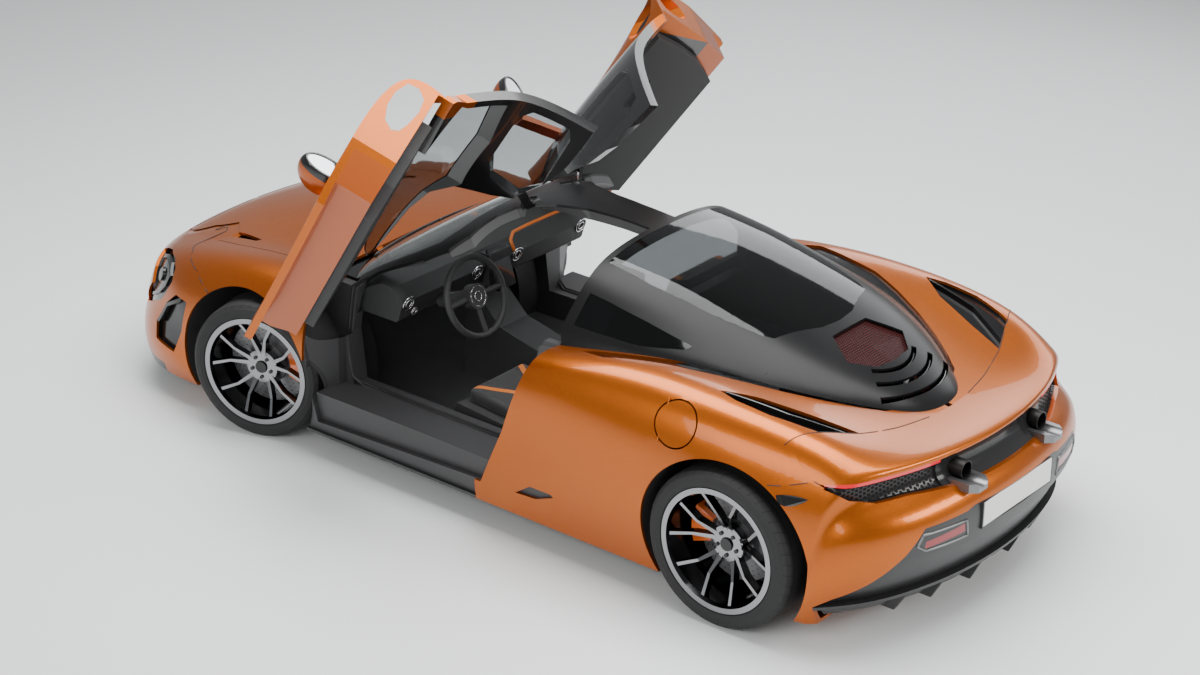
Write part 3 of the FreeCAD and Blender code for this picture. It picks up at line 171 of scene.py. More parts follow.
gloss_black = Finish("gloss_black", (0.005, 0.005, 0.0055), 0.14, Specular_IOR_Level=0.35, Coat_Weight=0.25,
                     Coat_Roughness=0.06)
gloss_black.set(Roughness=gloss_black.noise(9.0) * 0.12 + 0.16)

# Grained mouldings: door trims, arch liners, tray, dashboard and steering wheel
moulding = Finish("moulding", (0.02, 0.02, 0.021), 0.62)
moulding.tint(moulding.noise(3.0) * 0.5, (0.034, 0.034, 0.036))
moulding.bump(moulding.node("TexVoronoi", 0, Scale=700.0, Vector=moulding.place()), 0.0006, 0.35)

# Glass: the windscreen nearly clear, the side panes smoked, the rear screen dark
screen_glass = Finish("screen_glass", (0.62, 0.66, 0.65), 0.0, Transmission_Weight=1.0, IOR=1.45)
screen_glass.set(Roughness=screen_glass.noise(4.0) * 0.02)
side_glass = Finish("side_glass", (0.38, 0.40, 0.41), 0.0, Transmission_Weight=1.0, IOR=1.45)
side_glass.set(Roughness=side_glass.noise(4.0) * 0.02)
dark_glass = Finish("dark_glass", (0.12, 0.13, 0.135), 0.0, Transmission_Weight=1.0, IOR=1.35)
dark_glass.set(Roughness=dark_glass.noise(4.0) * 0.05 + 0.01)

# Mirror glass, lamp lenses that glow a little, chromed rings and the blank white plate
mirror_silver = Finish("mirror_silver", (0.42, 0.43, 0.45), 0.02, 1.0)
mirror_silver.set(Roughness=mirror_silver.noise(12.0) * 0.03)
red_lens = Finish("red_lens", (0.26, 0.003, 0.006), 0.18, Coat_Weight=0.5, Emission_Strength=0.9)
lit = red_lens.node("SeparateXYZ", "Z", Vector=red_lens.place()) > 0.7
red_lens.set(Emission_Color=red_lens.node("CombineColor", 0, Red=lit * 0.9, Green=0.0, Blue=lit * 0.02))
red_lens.set(Roughness=red_lens.noise(60.0) * 0.1 + 0.12)
lamp_white = Finish("lamp_white", (0.85, 0.88, 0.9), 0.12, Emission_Color=(0.9, 0.95, 1.0, 1.0),
                    Emission_Strength=0.35)
lamp_white.set(Roughness=lamp_white.noise(80.0) * 0.1 + 0.1)
chrome = Finish("chrome", (0.62, 0.62, 0.63), 0.12, 1.0)
chrome.set(Roughness=chrome.noise(40.0) * 0.08 + 0.08)
plate_white = Finish("plate_white", (0.78, 0.78, 0.76), 0.38)
plate_white.set(Roughness=plate_white.noise(30.0) * 0.12 + 0.3)
rubber = Finish("rubber", (0.012, 0.012, 0.0125), 0.55)
rubber.bump(rubber.noise(500.0), 0.0005, 0.4)
screen_face = Finish("screen_face", (0.01, 0.011, 0.014), 0.08, Coat_Weight=1.0)
screen_face.set(Roughness=screen_face.noise(20.0) * 0.06 + 0.05)
orange_hide = Finish("orange_hide", (0.58, 0.13, 0.005), 0.5)
orange_hide.bump(orange_hide.node("TexVoronoi", 0, Scale=620.0, Vector=orange_hide.place()), 0.0009, 0.5)

# Honeycomb: three waves at sixty degrees add up to a field of hexagons
honeycomb = Finish("honeycomb", (0.02, 0.02, 0.021), 0.3, Specular_IOR_Level=0.3)
cover_net = Finish("cover_net", (0.006, 0.006, 0.006), 0.4, Specular_IOR_Level=0.2)
for finish, first, second, pitch, hole in ((honeycomb, "Y", "Z", 0.016, (0.0005, 0.0005, 0.0005)),
                                           (cover_net, "X", "Y", 0.011, (0.045, 0.001, 0.0015))):
    u = finish.node("SeparateXYZ", first, Vector=finish.place()) * (math.tau / pitch)
    v = finish.node("SeparateXYZ", second, Vector=finish.place()) * (math.tau / pitch)
    waves = u.math("COSINE") + (u * 0.5 + v * 0.866).math("COSINE") + (u * 0.5 - v * 0.866).math("COSINE")
    cell = waves > -0.35
    if finish is honeycomb:
        side = finish.node("SeparateXYZ", "Y", Vector=finish.place()).math("ABSOLUTE")
        cell = cell * (side > 0.392)
    # On the tail panel the cells are painted near-black: painted shade in the honeycomb's holes
    finish.tint(cell, hole)
    finish.set(Roughness=cell * 0.5 + 0.18)
    finish.bump(cell, -0.0008, 0.5)

# Exhausts: the pipes darker inside their bore, the saddles below them in grey satin metal
exhaust_metal = Finish("exhaust_metal", (0.20, 0.20, 0.205), 0.34, 0.85)
pipe_aside, pipe_up, pipe_radius = 0.287, 0.690, 0.0415
pipe_y = exhaust_metal.node("SeparateXYZ", "Y", Vector=exhaust_metal.place()).math("ABSOLUTE") - pipe_aside
pipe_z = exhaust_metal.node("SeparateXYZ", "Z", Vector=exhaust_metal.place()) - pipe_up
pipe = (pipe_y * pipe_y + pipe_z * pipe_z).math("SQRT") < pipe_radius
exhaust_metal.tint(pipe, (0.025, 0.024, 0.023))
exhaust_metal.set(Roughness=exhaust_metal.noise(200.0) * 0.12 + pipe * 0.15 + 0.24)

cast_metal = Finish("cast_metal", (0.16, 0.16, 0.165), 0.48, 0.9)
cast_metal.bump(cast_metal.noise(420.0), 0.0006, 0.4)

caliper_paint = Finish("caliper_paint", (0.72, 0.13, 0.012), 0.3, Coat_Weight=0.8, Coat_Roughness=0.1)
caliper_paint.bump(caliper_paint.noise(300.0), 0.0004, 0.3)

# Leather with a fine pebble grain
leather = Finish("leather", (0.022, 0.022, 0.023), 0.5, Sheen_Weight=0.15)
pebble = leather.node("TexVoronoi", 0, Scale=620.0, Vector=leather.place())
leather.set(Roughness=leather.noise(14.0) * 0.16 + 0.42)
leather.bump(pebble * 0.8 + leather.noise(1500.0) * 0.2, 0.0009, 0.5)

# Wheels: the tread, the drilled disc and the machined face are drawn round each wheel's own axis
steer_rest = math.radians(15.3)
wheel_places = {}
for end in ("front", "rear"):
    for side in ("left", "right"):
        low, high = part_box("tyre_" + end + "_" + side)
        turn = steer_rest if end == "front" else 0.0
        wheel_places[end + "_" + side] = ((Vector(low) + Vector(high)) / 2, turn)
for wheel, (centre, turn) in wheel_places.items():
    half = 0.1225 if "front" in wheel else 0.1525
    radius = 0.327 if "front" in wheel else 0.3455
    tyre = Finish("tyre_" + wheel, (0.012, 0.012, 0.0125), 0.72)
    rim = Finish("rim_" + wheel, (0.06, 0.06, 0.063), 0.34, 1.0)
    disc = Finish("disc_" + wheel, (0.20, 0.20, 0.205), 0.42, 0.9)
    for finish in (tyre, rim, disc):
        local = finish.node("Mapping", 0, {"vector_type": "TEXTURE"}, Vector=finish.place(),
                            Location=tuple(centre), Rotation=(0, 0, turn))
        x = finish.node("SeparateXYZ", "X", Vector=local)
        y = finish.node("SeparateXYZ", "Y", Vector=local)
        z = finish.node("SeparateXYZ", "Z", Vector=local)
        reach = (x * x + z * z).math("SQRT")
        turned = z.math("ARCTAN2", x)
        if finish is tyre:
            across = y.math("ABSOLUTE")
            grooves = (across - 0.022).math("ABSOLUTE") < 0.005
            grooves = grooves + ((across - half * 0.56).math("ABSOLUTE") < 0.0045)
            slots = (turned * (46 / math.tau) + across * 9.0).math("FRACT") < 0.11
            slots = slots * (across > half * 0.6)
            tread = (grooves + slots).math("MINIMUM", 1.0) * (reach > radius - 0.016)
            ribs = (reach * (math.tau / 0.004)).math("SINE") * 0.05 * (reach < radius - 0.02)
            # The tread's grooves and slots are painted darker than the rubber: painted shade in the grooves
            tyre.tint(tread, (0.002, 0.002, 0.002))
            tyre.bump(ribs - tread, 0.006)
        if finish is disc:
            spoke = (turned * (36 / math.tau) + reach * 38.0).math("FRACT") - 0.5
            row = (reach * (1 / 0.020)).math("FRACT") - 0.5
            hole = ((spoke * 0.036).math("POWER", 2.0) + (row * 0.020).math("POWER", 2.0)) < 0.0032 ** 2
            hole = hole * (reach > 0.118)
            # The drilled holes are painted near-black: painted shade in place of open holes
            disc.tint(hole, (0.01, 0.01, 0.01))
            radial = disc.node("CombineXYZ", 0, X=reach * 900.0)
            rings = disc.node("TexNoise", "Fac", Scale=1.0, Detail=1.0, Vector=radial)
            disc.set(Roughness=rings * 0.2 + 0.28)
        if finish is rim:
            normal = rim.node("NewGeometry", "Normal")
            axle = (-math.sin(turn), math.cos(turn), 0.0)
            facing = rim.node("VectorMath", "Value", {"operation": "DOT_PRODUCT"}, Vector=normal)
            facing.socket.node.inputs[1].default_value = axle
            machined = facing.math("ABSOLUTE") > 0.8
            rim.tint(machined, (0.27, 0.27, 0.28))
            rim.set(Roughness=rim.noise(900.0) * 0.1 + 0.09)
    tyre.give("tyre_" + wheel)
    rim.give("rim_" + wheel)
    disc.give("disc_" + wheel)

# The doors' inner structure is black above the sill line and orange below it, on the hanging blade.
# The mirror shells are orange ahead of their glass. Both limits hold with the doors shut
blade_top = 0.475
shell_front = 0.512
hinge_foot = Vector((0.918, 0.726, 0.694))
hinge_axis = (Vector((0.156, 0.133, 1.180)) - hinge_foot).normalized()
closing = Matrix.Rotation(math.radians(80), 3, hinge_axis)
for way, side in ((1, "left"), (-1, "right")):
    lining = Finish("door_lining_" + side, (0.006, 0.006, 0.0065), 0.2, Coat_Weight=0.8, Coat_Roughness=0.05)
    height = lining.node("VectorMath", "Value", {"operation": "DOT_PRODUCT"}, Vector=lining.place())
    height.socket.node.inputs[1].default_value = (closing[2][0], way * closing[2][1], closing[2][2])
    height = height + (hinge_foot.z - closing[2].dot(hinge_foot))
    blade = height < blade_top
    lining.tint(blade, (0.36, 0.066, 0.0))
    lining.set(Metallic=blade * 0.6, Roughness=blade * 0.14 + 0.2)
    lining.give("door_frame_" + side)
    shell = Finish("mirror_shell_" + side, (0.006, 0.006, 0.0065), 0.18, Coat_Weight=0.4)
    ahead = shell.node("VectorMath", "Value", {"operation": "DOT_PRODUCT"}, Vector=shell.place())
    ahead.socket.node.inputs[1].default_value = (closing[0][0], way * closing[0][1], closing[0][2])
    painted = (ahead + (hinge_foot.x - closing[0].dot(hinge_foot))) > shell_front
    shell.tint(painted, (0.40, 0.074, 0.0))
    shell.set(Metallic=painted * 0.75, Roughness=painted * 0.12 + 0.18)
    shell.give("mirror_" + side)

chin_paint.give("front_bumper")
paint.give("door_left", "door_right", "bonnet", "front_fenders", "rear_quarters", "rear_bumper",
           "tail_wing", "fuel_flap")
shell_grey.give("tub")
satin_black.give("rear_frame", "underfloor", "wishbones", "tail_surround", "diffuser")
gloss_black.give("vents", "headlamps")
roof_black.give("canopy_frame", "roof_frame", "engine_cover")
honeycomb.give("tail_panel")
red_lens.give("tail_lamps")
moulding.give("door_trim_left", "door_trim_right", "wheel_liners", "front_tray", "dashboard",
              "steering_wheel")
screen_glass.give("windscreen")
side_glass.give("door_glass_left", "door_glass_right")
dark_glass.give("rear_screen", "quarter_glass")
cast_metal.give("engine", "upright_front_left", "upright_front_right", "uprights_rear")
exhaust_metal.give("exhausts")
caliper_paint.give("caliper_front_left", "caliper_front_right", "calipers_rear")
leather.give("seats", "seat_cushions", "seat_backs")


def add(name, bm, body, finish, smooth=True):
    """Makes the finished bmesh a piece of the object that rides on a body."""
    mesh = bpy.data.meshes.new(name)
    bmesh.ops.recalc_face_normals(bm, faces=bm.faces)
    bm.to_mesh(mesh)
    bm.free()
    thing = bpy.data.objects.new(name, mesh)
    bpy.context.scene.collection.objects.link(thing)
    for face in mesh.polygons:
        face.use_smooth = smooth
    finish.give(thing)
    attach(thing, body)
    return thing


def tube(bm, points, radius, sides=8, closed=False):
    """Sweeps a round section along points, turning it as little as it can."""
    count = len(points)
    rings = []
    across = None
    for i, here in enumerate(points):
        before = points[i - 1] if i or closed else here
        after = points[(i + 1) % count] if i < count - 1 or closed else here
        along = (after - before).normalized()
        across = (across or along.orthogonal())
        across = (across - along * across.dot(along)).normalized()
        other = along.cross(across)
        rings.append([bm.verts.new(here + (across * math.cos(t) + other * math.sin(t)) * radius)
                      for t in (math.tau * k / sides for k in range(sides))])
    for i in range(count if closed else count - 1):
        first, second = rings[i], rings[(i + 1) % count]
        for k in range(sides):
            bm.faces.new((first[k], first[(k + 1) % sides], second[(k + 1) % sides], second[k]))
    if not closed:
        bm.faces.new(rings[0])
        bm.faces.new(rings[-1])


def tree_of(*names):
    """One search tree over several CAD nodes."""
    points, faces = [], []
    for name in names:
        mesh = nodes[name].data
        start = len(points)
        points += [v.co.copy() for v in mesh.vertices]
        faces += [[start + i for i in face.vertices] for face in mesh.polygons]
    return BVHTree.FromPolygons(points, faces)


# Seats: each pad is a closed cushion that is blown up a little from inside, held down along its seams
pad_inset = 0.003
pad_voxel = 0.008
most_swell = 0.014
seam_half = 0.005
seat_middle = 0.365
last_frame = 20
leather_pads = Finish("leather_pads", (0.022, 0.022, 0.023), 0.5, Sheen_Weight=0.15)
place_x = leather_pads.node("SeparateXYZ", "X", Vector=leather_pads.place())
place_y = leather_pads.node("SeparateXYZ", "Y", Vector=leather_pads.place())
place_z = leather_pads.node("SeparateXYZ", "Z", Vector=leather_pads.place())
from_middle = (place_y.math("ABSOLUTE") - seat_middle).math("ABSOLUTE")
spread = ((place_x + 0.02).math("MAXIMUM", 0.0) + (place_z - 0.62).math("MAXIMUM", 0.0)) * 0.62
stripe = (from_middle - spread - 0.014).math("ABSOLUTE") < 0.0155
leather_pads.tint(stripe, (0.60, 0.15, 0.006))
leather_pads.bump(leather_pads.node("TexVoronoi", 0, Scale=620.0, Vector=leather_pads.place()), 0.0009, 0.5)
for name in ("seat_cushions", "seat_backs"):
    bm = bmesh.new()
    bm.from_mesh(nodes[name].data)
    bmesh.ops.remove_doubles(bm, verts=bm.verts, dist=0.0002)
    bm.normal_update()
    for vert in bm.verts:
        vert.co -= vert.normal * pad_inset
    pad = add(name + "_soft", bm, "car", leather_pads)
    remesh = pad.modifiers.new("remesh", "REMESH")
    remesh.mode = "VOXEL"
    remesh.voxel_size = pad_voxel
    bpy.context.view_layer.update()
    pad.data = bpy.data.meshes.new_from_object(pad.evaluated_get(bpy.context.evaluated_depsgraph_get()))
    pad.modifiers.clear()
    start = [v.co.copy() for v in pad.data.vertices]
    held = pad.vertex_groups.new(name="seams")
    for vert in pad.data.vertices:
        off = [abs(abs(vert.co.y) - seat_middle) - 0.105]
        if name == "seat_backs":
            off += [vert.co.z - 0.56, vert.co.z - 0.70]
        else:
            off += [vert.co.x - 0.03, vert.co.x - 0.13]
        if any(abs(distance) < seam_half for distance in off):
            held.add([vert.index], 1.0, "ADD")
    cloth = pad.modifiers.new("cloth", "CLOTH")
    cloth.settings.quality = 6
    cloth.settings.mass = 0.3
    cloth.settings.tension_stiffness = 12
    cloth.settings.compression_stiffness = 12
    cloth.settings.bending_stiffness = 0.4
    cloth.settings.use_pressure = True
    cloth.settings.uniform_pressure_force = 4.0
    cloth.settings.effector_weights.gravity = 0.0
    cloth.settings.vertex_group_mass = "seams"
    cloth.point_cache.frame_start = 1
    cloth.point_cache.frame_end = last_frame
    for moment in range(1, last_frame + 1):
        bpy.context.scene.frame_set(moment)
    puffed = bpy.data.meshes.new_from_object(pad.evaluated_get(bpy.context.evaluated_depsgraph_get()))
    pad.modifiers.clear()
    for vert, was in zip(puffed.vertices, start):
        move = vert.co - was
        if move.length > most_swell:
            vert.co = was + move.normalized() * most_swell
    pad.data = puffed
    bpy.context.scene.frame_set(1)
    for face in puffed.polygons:
        face.use_smooth = True
    smooth = pad.modifiers.new("smooth", "SUBSURF")
    smooth.levels = smooth.render_levels = 1
    leather_pads.give(pad)
    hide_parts(name)

# Two rubber beads round each door opening, sunk in the pillars' faces and laid along the sill's inner edge
bead_radius = 0.0085
bead_sunk = 0.0045
bead_apart = 0.021
tub_tree = tree_of("tub")
bm = bmesh.new()
for way in (1, -1):
    for doubled in (0.0, bead_apart):
        laid = []
        for x, z, kind in ((424, 962, "face"), (540, 915, "face"), (640, 876, "face"),
                           (716, 838, "face"), (752, 776, "face"), (772, 660, "face"), (786, 560, "face"),
                           (776, 440, "face"), (752, 350, "face"), (700, 0, "sill"), (520, 0, "sill"),
                           (300, 0, "sill"), (80, 0, "sill"), (-120, 0, "sill"), (-160, 345, "face"),
                           (-196, 400, "face"), (-250, 490, "face"), (-300, 620, "face"),
                           (-340, 742, "face")):
            if kind == "sill":
                spot = Vector((x / 1000, way * (0.712 - doubled), 0.6))
                hit = tub_tree.ray_cast(spot, Vector((0, 0, -1)))[0]
                deep = Vector((0, 0, -0.002))
            else:
                x += math.copysign(doubled * 1000, x + 100) if z < 800 else 0
                hit = tub_tree.ray_cast(Vector((x / 1000, way * 1.3, z / 1000)), Vector((0, -way, 0)))[0]
                deep = Vector((0, -way * bead_sunk, 0))
            if hit and abs(hit.y) < 0.76:
                laid.append(hit + deep)
        tube(bm, laid, bead_radius, 10)
add("door_seals", bm, "car", rubber)

# Shut lines: fine dark joints laid on the skin between the outer panels
skin_tree = tree_of("rear_quarters", "rear_bumper", "tail_wing", "front_fenders", "front_bumper", "bonnet")
lines = [("plan", [(-1690, 840), (-1758, 698), (-1832, 518), (-1885, 320), (-1918, 132)]),
         ("side", [(-1674, 702), (-1725, 710), (-1848, 746), (-1880, 730)]),
         ("side", [(1462, 624), (1578, 684), (1720, 712), (1822, 700), (1930, 672)]),
         ("plan", [(2085, 448), (2088, 230), (2090, 0)])]
bm = bmesh.new()
for kind, line in lines:
    for way in (1, -1):
        laid = []
        for (a0, b0), (a1, b1) in zip(line, line[1:]):
            steps = max(2, int(math.hypot(a1 - a0, b1 - b0) / 14))
            for k in range(steps):
                a, b = (a0 + (a1 - a0) * k / steps) / 1000, (b0 + (b1 - b0) * k / steps) / 1000
                if kind == "plan":
                    hit = skin_tree.ray_cast(Vector((a, way * b, 2.0)), Vector((0, 0, -1)))[0]
                else:
                    hit = skin_tree.ray_cast(Vector((a, way * 2.0, b)), Vector((0, -way, 0)))[0]
                if hit:
                    laid.append(hit)
        if len(laid) > 2:
            tube(bm, laid, 0.0022, 6)
add("shut_lines", bm, "car", rubber)

# Mesh under the window of the engine cover
cover_tree = tree_of("engine_cover")
window = [(-1412, 120), (-1412, -120), (-1545, -205), (-1635, -115),
          (-1648, 0), (-1635, 115), (-1545, 205)]
middle = Vector((-1.53, 0, 0))
bm = bmesh.new()
rim = []
for x, y in window:
    spot = Vector((x / 1000, y / 1000, 0))
    outside = middle + (spot - middle) * 1.06
    hit = cover_tree.ray_cast(outside + Vector((0, 0, 2)), Vector((0, 0, -1)))[0]
    rim.append(bm.verts.new((outside.x, outside.y, (hit.z if hit else 0.93) - 0.016)))
top = bm.verts.new((middle.x, 0, sum(v.co.z for v in rim) / len(rim) + 0.006))
for k in range(len(rim)):
    bm.faces.new((rim[k], rim[(k + 1) % len(rim)], top))
add("cover_mesh", bm, "car", cover_net, False)

# Round blades in the louvres behind the window
bm = bmesh.new()
for radius in (0.249, 0.317, 0.385):
    arc = []
    for k in range(25):
        turn = math.radians(-34 + 68 * k / 24)
        x, y = -1.44 - radius * math.cos(turn), radius * math.sin(turn)
        hit = cover_tree.ray_cast(Vector((x - 0.02, y, 2)), Vector((0, 0, -1)))[0]
        if hit:
            arc.append(Vector((x, y, hit.z - 0.010)))
    if len(arc) > 3:
        tube(bm, arc, 0.006, 8)
add("louvre_blades", bm, "car", gloss_black)

# Blank rear plate on its backing
bm = bmesh.new()
plate_place = Matrix.Translation((-2.2645, 0, 0.503)) @ Matrix.Diagonal((0.005, 0.516, 0.108, 1))
bmesh.ops.create_cube(bm, size=1.0, matrix=plate_place)
bmesh.ops.bevel(bm, geom=bm.edges, offset=0.0015, segments=2, affect="EDGES")
add("plate_face", bm, "car", plate_white, False)

# Mirror glasses, made with the doors shut and swung open with them
for way, side in ((1, "left"), (-1, "right")):
    bm = bmesh.new()
    bmesh.ops.create_circle(bm, cap_ends=True, segments=40, radius=1.0)
    upended = Matrix.Translation((0.482, 1.010, 0.985)) @ Matrix.Rotation(math.radians(90), 4, "Y")
    bmesh.ops.transform(bm, matrix=upended @ Matrix.Diagonal((0.041, 0.097, 1, 1)), verts=bm.verts)
    swing = Matrix.Translation(hinge_foot) @ Matrix.Rotation(math.radians(-80), 4, hinge_axis)
    bmesh.ops.transform(bm, matrix=swing @ Matrix.Translation(-hinge_foot), verts=bm.verts)
    for vert in bm.verts:
        vert.co.y *= way
    add("mirror_face_" + side, bm, side + "_door", mirror_silver, False)

# A black cap with a plain face and five bolts round it on each wheel
for wheel, (centre, turn) in wheel_places.items():
    end, side = wheel.split("_")
    way = 1 if side == "left" else -1
    out = Vector((-math.sin(turn), math.cos(turn), 0)) * way
    rim_tree = tree_of("rim_" + wheel)
    face = rim_tree.ray_cast(centre + out * 0.4, -out)[0]
    if face is None:
        continue
    bm = bmesh.new()
    outward = out.to_track_quat("Z", "Y").to_matrix().to_4x4()
    bmesh.ops.create_cone(bm, cap_ends=True, segments=32, radius1=0.031, radius2=0.028, depth=0.010,
                          matrix=Matrix.Translation(face + out * 0.003) @ outward)
    upright = Vector((0, 0, 1))
    beside = out.cross(upright)
    for k in range(5):
        turn_to = math.tau * (k + 0.5) / 5
        spot = face + (upright * math.cos(turn_to) + beside * math.sin(turn_to)) * 0.050
        where = rim_tree.ray_cast(spot + out * 0.3, -out)[0]
        if where:
            bmesh.ops.create_cone(bm, cap_ends=True, segments=6, radius1=0.009, radius2=0.009, depth=0.010,
                                  matrix=Matrix.Translation(where + out * 0.002) @ outward)
    add("cap_" + wheel, bm, end + "_" + side + "_wheel", gloss_black, False)

# Headlamp projectors inside their sockets
for way, side in ((1, "left"), (-1, "right")):
    bm = bmesh.new()
    for x, y, z, r in ((1.868, 0.728, 0.545, 0.030), (1.905, 0.690, 0.500, 0.022)):
        bmesh.ops.create_uvsphere(bm, u_segments=24, v_segments=16, radius=r,
                                  matrix=Matrix.Translation((x, way * y, z)))
    add("projector_" + side, bm, "car", lamp_white)

# Dashboard: portrait screen, round vents in chrome rings and a row of toggles on the console
dash_tree = tree_of("dashboard")
bm_screen = bmesh.new()
bm_rings = bmesh.new()
hit = dash_tree.ray_cast(Vector((0.05, 0, 0.72)), Vector((1, 0, 0)))[0]
if hit:
    facing = Vector((-0.94, 0, 0.34))
    stand = Matrix.Translation(hit + facing * 0.006) @ facing.to_track_quat("Z", "Y").to_matrix().to_4x4()
    bmesh.ops.create_cube(bm_screen, size=1.0, matrix=stand @ Matrix.Diagonal((0.135, 0.20, 0.012, 1)))
    bmesh.ops.bevel(bm_screen, geom=bm_screen.edges, offset=0.004, segments=2, affect="EDGES")
for y, z in ((0.60, 0.735), (0.545, 0.675), (0.14, 0.735), (-0.14, 0.735), (-0.60, 0.735)):
    hit, normal = dash_tree.ray_cast(Vector((0.05, y, z)), Vector((1, 0, 0)))[:2]
    if hit:
        normal = -normal if normal.x > 0 else normal
        beside = normal.cross(Vector((0, 0, 1))).normalized()
        above = beside.cross(normal)
        size = 0.034 if z > 0.7 else 0.018
        for radius, lift in ((size, 0.004), (size * 0.55, 0.005)):
            loop = [hit + normal * lift + (beside * math.cos(t) + above * math.sin(t)) * radius
                    for t in (math.tau * k / 28 for k in range(28))]
            tube(bm_rings, loop, 0.0032, 8, True)
for k in range(9):
    x = -0.02 + 0.026 * k
    hit = dash_tree.ray_cast(Vector((x, 0.03, 1.2)), Vector((0, 0, -1)))[0]
    if hit:
        bmesh.ops.create_cone(bm_rings, cap_ends=True, segments=12, radius1=0.005, radius2=0.003, depth=0.026,
                              matrix=Matrix.Translation(hit + Vector((0, 0, 0.012))))

# Orange band along the passenger's side of the dash and down beside the console
band = []
inward = Vector((1, 0, -1)).normalized()
for spot in ((0.600, -0.62, 0.806), (0.600, -0.45, 0.808), (0.600, -0.30, 0.808), (0.595, -0.20, 0.806),
             (0.570, -0.150, 0.790), (0.535, -0.125, 0.740), (0.530, -0.115, 0.66), (0.50, -0.108, 0.58),
             (0.44, -0.104, 0.50), (0.36, -0.102, 0.462), (0.15, -0.100, 0.425), (-0.10, -0.100, 0.41)):
    hit = dash_tree.ray_cast(Vector(spot) - inward * 0.25, inward)[0]
    if hit and (hit - Vector(spot)).length < 0.08:
        band.append(hit)
bm = bmesh.new()
if len(band) > 3:
    tube(bm, band, 0.009, 8)
add("dash_band", bm, "car", orange_hide)
add("dash_screen", bm_screen, "car", screen_face, False)
add("dash_rings", bm_rings, "car", chrome)

# Two plain rings on the boss of the steering wheel
wheel_tree = tree_of("steering_wheel")
axis = Vector((-math.cos(math.radians(21)), 0, math.sin(math.radians(21))))
boss = wheel_tree.ray_cast(Vector((0.330, 0.365, 0.745)) + axis * 0.3, -axis)[0]
bm = bmesh.new()
if boss:
    beside = axis.cross(Vector((0, 0, 1))).normalized()
    above = beside.cross(axis)
    for radius, thick in ((0.021, 0.0022), (0.046, 0.0014)):
        loop = [boss + axis * 0.001 + (beside * math.cos(t) + above * math.sin(t)) * radius
                for t in (math.tau * k / 32 for k in range(32))]
        tube(bm, loop, thick, 8, True)
add("boss_rings", bm, "steering_wheel", chrome)

# Grey bezels round the rear reflectors
tail_tree = tree_of("tail_surround", "tail_lamps")
bm = bmesh.new()
for way in (1, -1):
    corners = [(0.342, 0.440), (0.352, 0.512), (0.575, 0.514), (0.600, 0.470), (0.560, 0.442)]
    laid = []
    for k in range(len(corners)):
        (y0, z0), (y1, z1) = corners[k], corners[(k + 1) % len(corners)]
        for step in range(6):
            y, z = y0 + (y1 - y0) * step / 6, z0 + (z1 - z0) * step / 6
            hit = tail_tree.ray_cast(Vector((-3, way * y, z)), Vector((1, 0, 0)))[0]
            if hit:
                laid.append(hit)
    if len(laid) > 8:
        tube(bm, laid, 0.0055, 8, True)
add("reflector_bezels", bm, "car", exhaust_metal)

# Black gills behind the rear arches
bm = bmesh.new()
quarter_tree = tree_of("rear_quarters", "rear_bumper")
for way in (1, -1):
    leaf = []
    for x, z in ((-1.715, 0.672), (-1.735, 0.678), (-1.760, 0.682), (-1.785, 0.684),
                 (-1.815, 0.682), (-1.842, 0.677), (-1.825, 0.662), (-1.800, 0.648),
                 (-1.778, 0.640), (-1.756, 0.636), (-1.738, 0.640), (-1.722, 0.655)):
        hit = quarter_tree.ray_cast(Vector((x, way * 2.0, z)), Vector((0, -way, 0)))[0]
        if hit:
            leaf.append(bm.verts.new(hit + Vector((0, way * 0.0025, 0))))
    if len(leaf) > 4:
        bm.faces.new(leaf)
add("gill_faces", bm, "car", gloss_black, False)

# Two wipers parked along the foot of the windscreen
screen_tree = tree_of("windscreen")
bm = bmesh.new()
for run in (((0.856, 0.46), (0.864, 0.30), (0.868, 0.14), (0.866, -0.04)),
            ((0.842, 0.04), (0.846, -0.14), (0.844, -0.30), (0.836, -0.46))):
    laid = []
    for (x0, y0), (x1, y1) in zip(run, run[1:]):
        for k in range(6):
            x, y = x0 + (x1 - x0) * k / 6, y0 + (y1 - y0) * k / 6
            hit = screen_tree.ray_cast(Vector((x, y, 2)), Vector((0, 0, -1)))[0]
            if hit:
                laid.append(hit + Vector((0, 0, 0.007)))
    if len(laid) > 1:
        tube(bm, laid, 0.005, 8)
add("wipers", bm, "car", rubber)

# The studio: a pale floor, a big soft light overhead, weaker ones at the sides
floor = bpy.data.objects.new("floor", bpy.data.meshes.new("floor"))
bm = bmesh.new()
bmesh.ops.create_grid(bm, x_segments=2, y_segments=2, size=45.0)
bm.to_mesh(floor.data)
bm.free()
bpy.context.scene.collection.objects.link(floor)
floor_grey = Finish("floor_grey", (0.82, 0.84, 0.845), 0.6)
floor_grey.set(Roughness=floor_grey.noise(0.6) * 0.1 + 0.5)
floor_grey.give(floor)

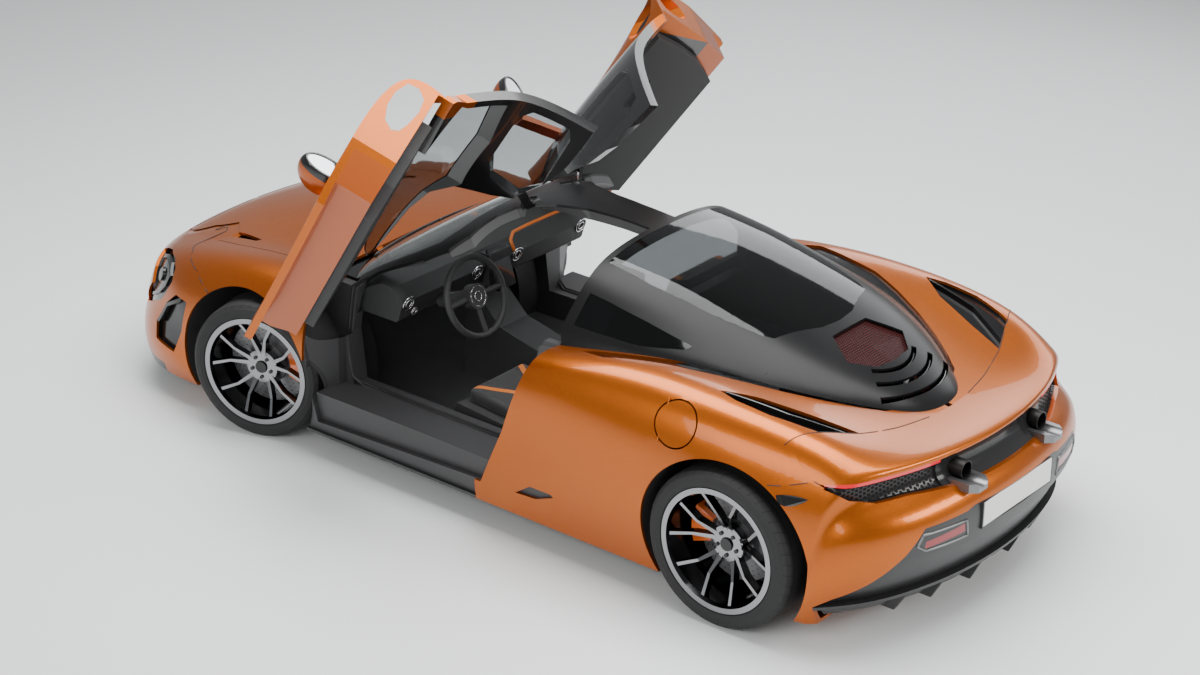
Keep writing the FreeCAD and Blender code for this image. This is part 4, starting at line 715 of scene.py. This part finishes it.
light_gain = 1.5
lights = [
    ("overhead", (0.0, 0.0, 5.2), (0, 0, 0), (7.5, 3.2), 420, (1.0, 1.0, 1.0)),
    ("left_side", (-1.0, 6.5, 3.6), (0, 0, 0.6), (7.0, 2.4), 160, (1.0, 0.99, 0.97)),
    ("tail_side", (-7.5, -1.5, 3.4), (-1.0, 0, 0.5), (4.0, 2.2), 190, (1.0, 0.98, 0.95)),
    ("right_side", (0.5, -6.5, 3.8), (0, 0, 0.6), (7.0, 2.4), 130, (0.97, 0.99, 1.0)),
]
for name, spot, target, size, power, colour in lights:
    lamp = bpy.data.lights.new(name, "AREA")
    lamp.shape = "RECTANGLE"
    lamp.size, lamp.size_y = size
    lamp.energy = power * light_gain
    lamp.color = colour
    lamp_object = bpy.data.objects.new(name, lamp)
    aim = (Vector(target) - Vector(spot)).to_track_quat("-Z", "Y")
    lamp_object.matrix_world = Matrix.Translation(spot) @ aim.to_matrix().to_4x4()
    bpy.context.scene.collection.objects.link(lamp_object)
world = bpy.data.worlds.new("studio")
world.use_nodes = True
world.node_tree.nodes["Background"].inputs["Color"].default_value = (0.86, 0.89, 0.90, 1.0)
world.node_tree.nodes["Background"].inputs["Strength"].default_value = 0.43
bpy.context.scene.world = world

# The camera stands where the photograph's stood
yaw, pitch, roll = -0.894, -0.431, 0.012
focal_pixels, photo_width = 2769.45, 1200
forward = Vector((math.cos(pitch) * math.cos(yaw), math.cos(pitch) * math.sin(yaw), math.sin(pitch)))
right = forward.cross(Vector((0, 0, 1))).normalized()
up = right.cross(forward)
right, up = math.cos(roll) * right + math.sin(roll) * up, math.cos(roll) * up - math.sin(roll) * right
eye = Matrix((right, up, -forward)).transposed().to_4x4()
eye.translation = (-7.1574, 8.7999, 5.7305)
lens = bpy.data.cameras.new("camera")
lens.sensor_width = 36.0
lens.lens = focal_pixels / photo_width * 36.0
lens.clip_end = 200.0
camera = bpy.data.objects.new("camera", lens)
camera.matrix_world = eye
bpy.context.scene.collection.objects.link(camera)
bpy.context.scene.camera = camera
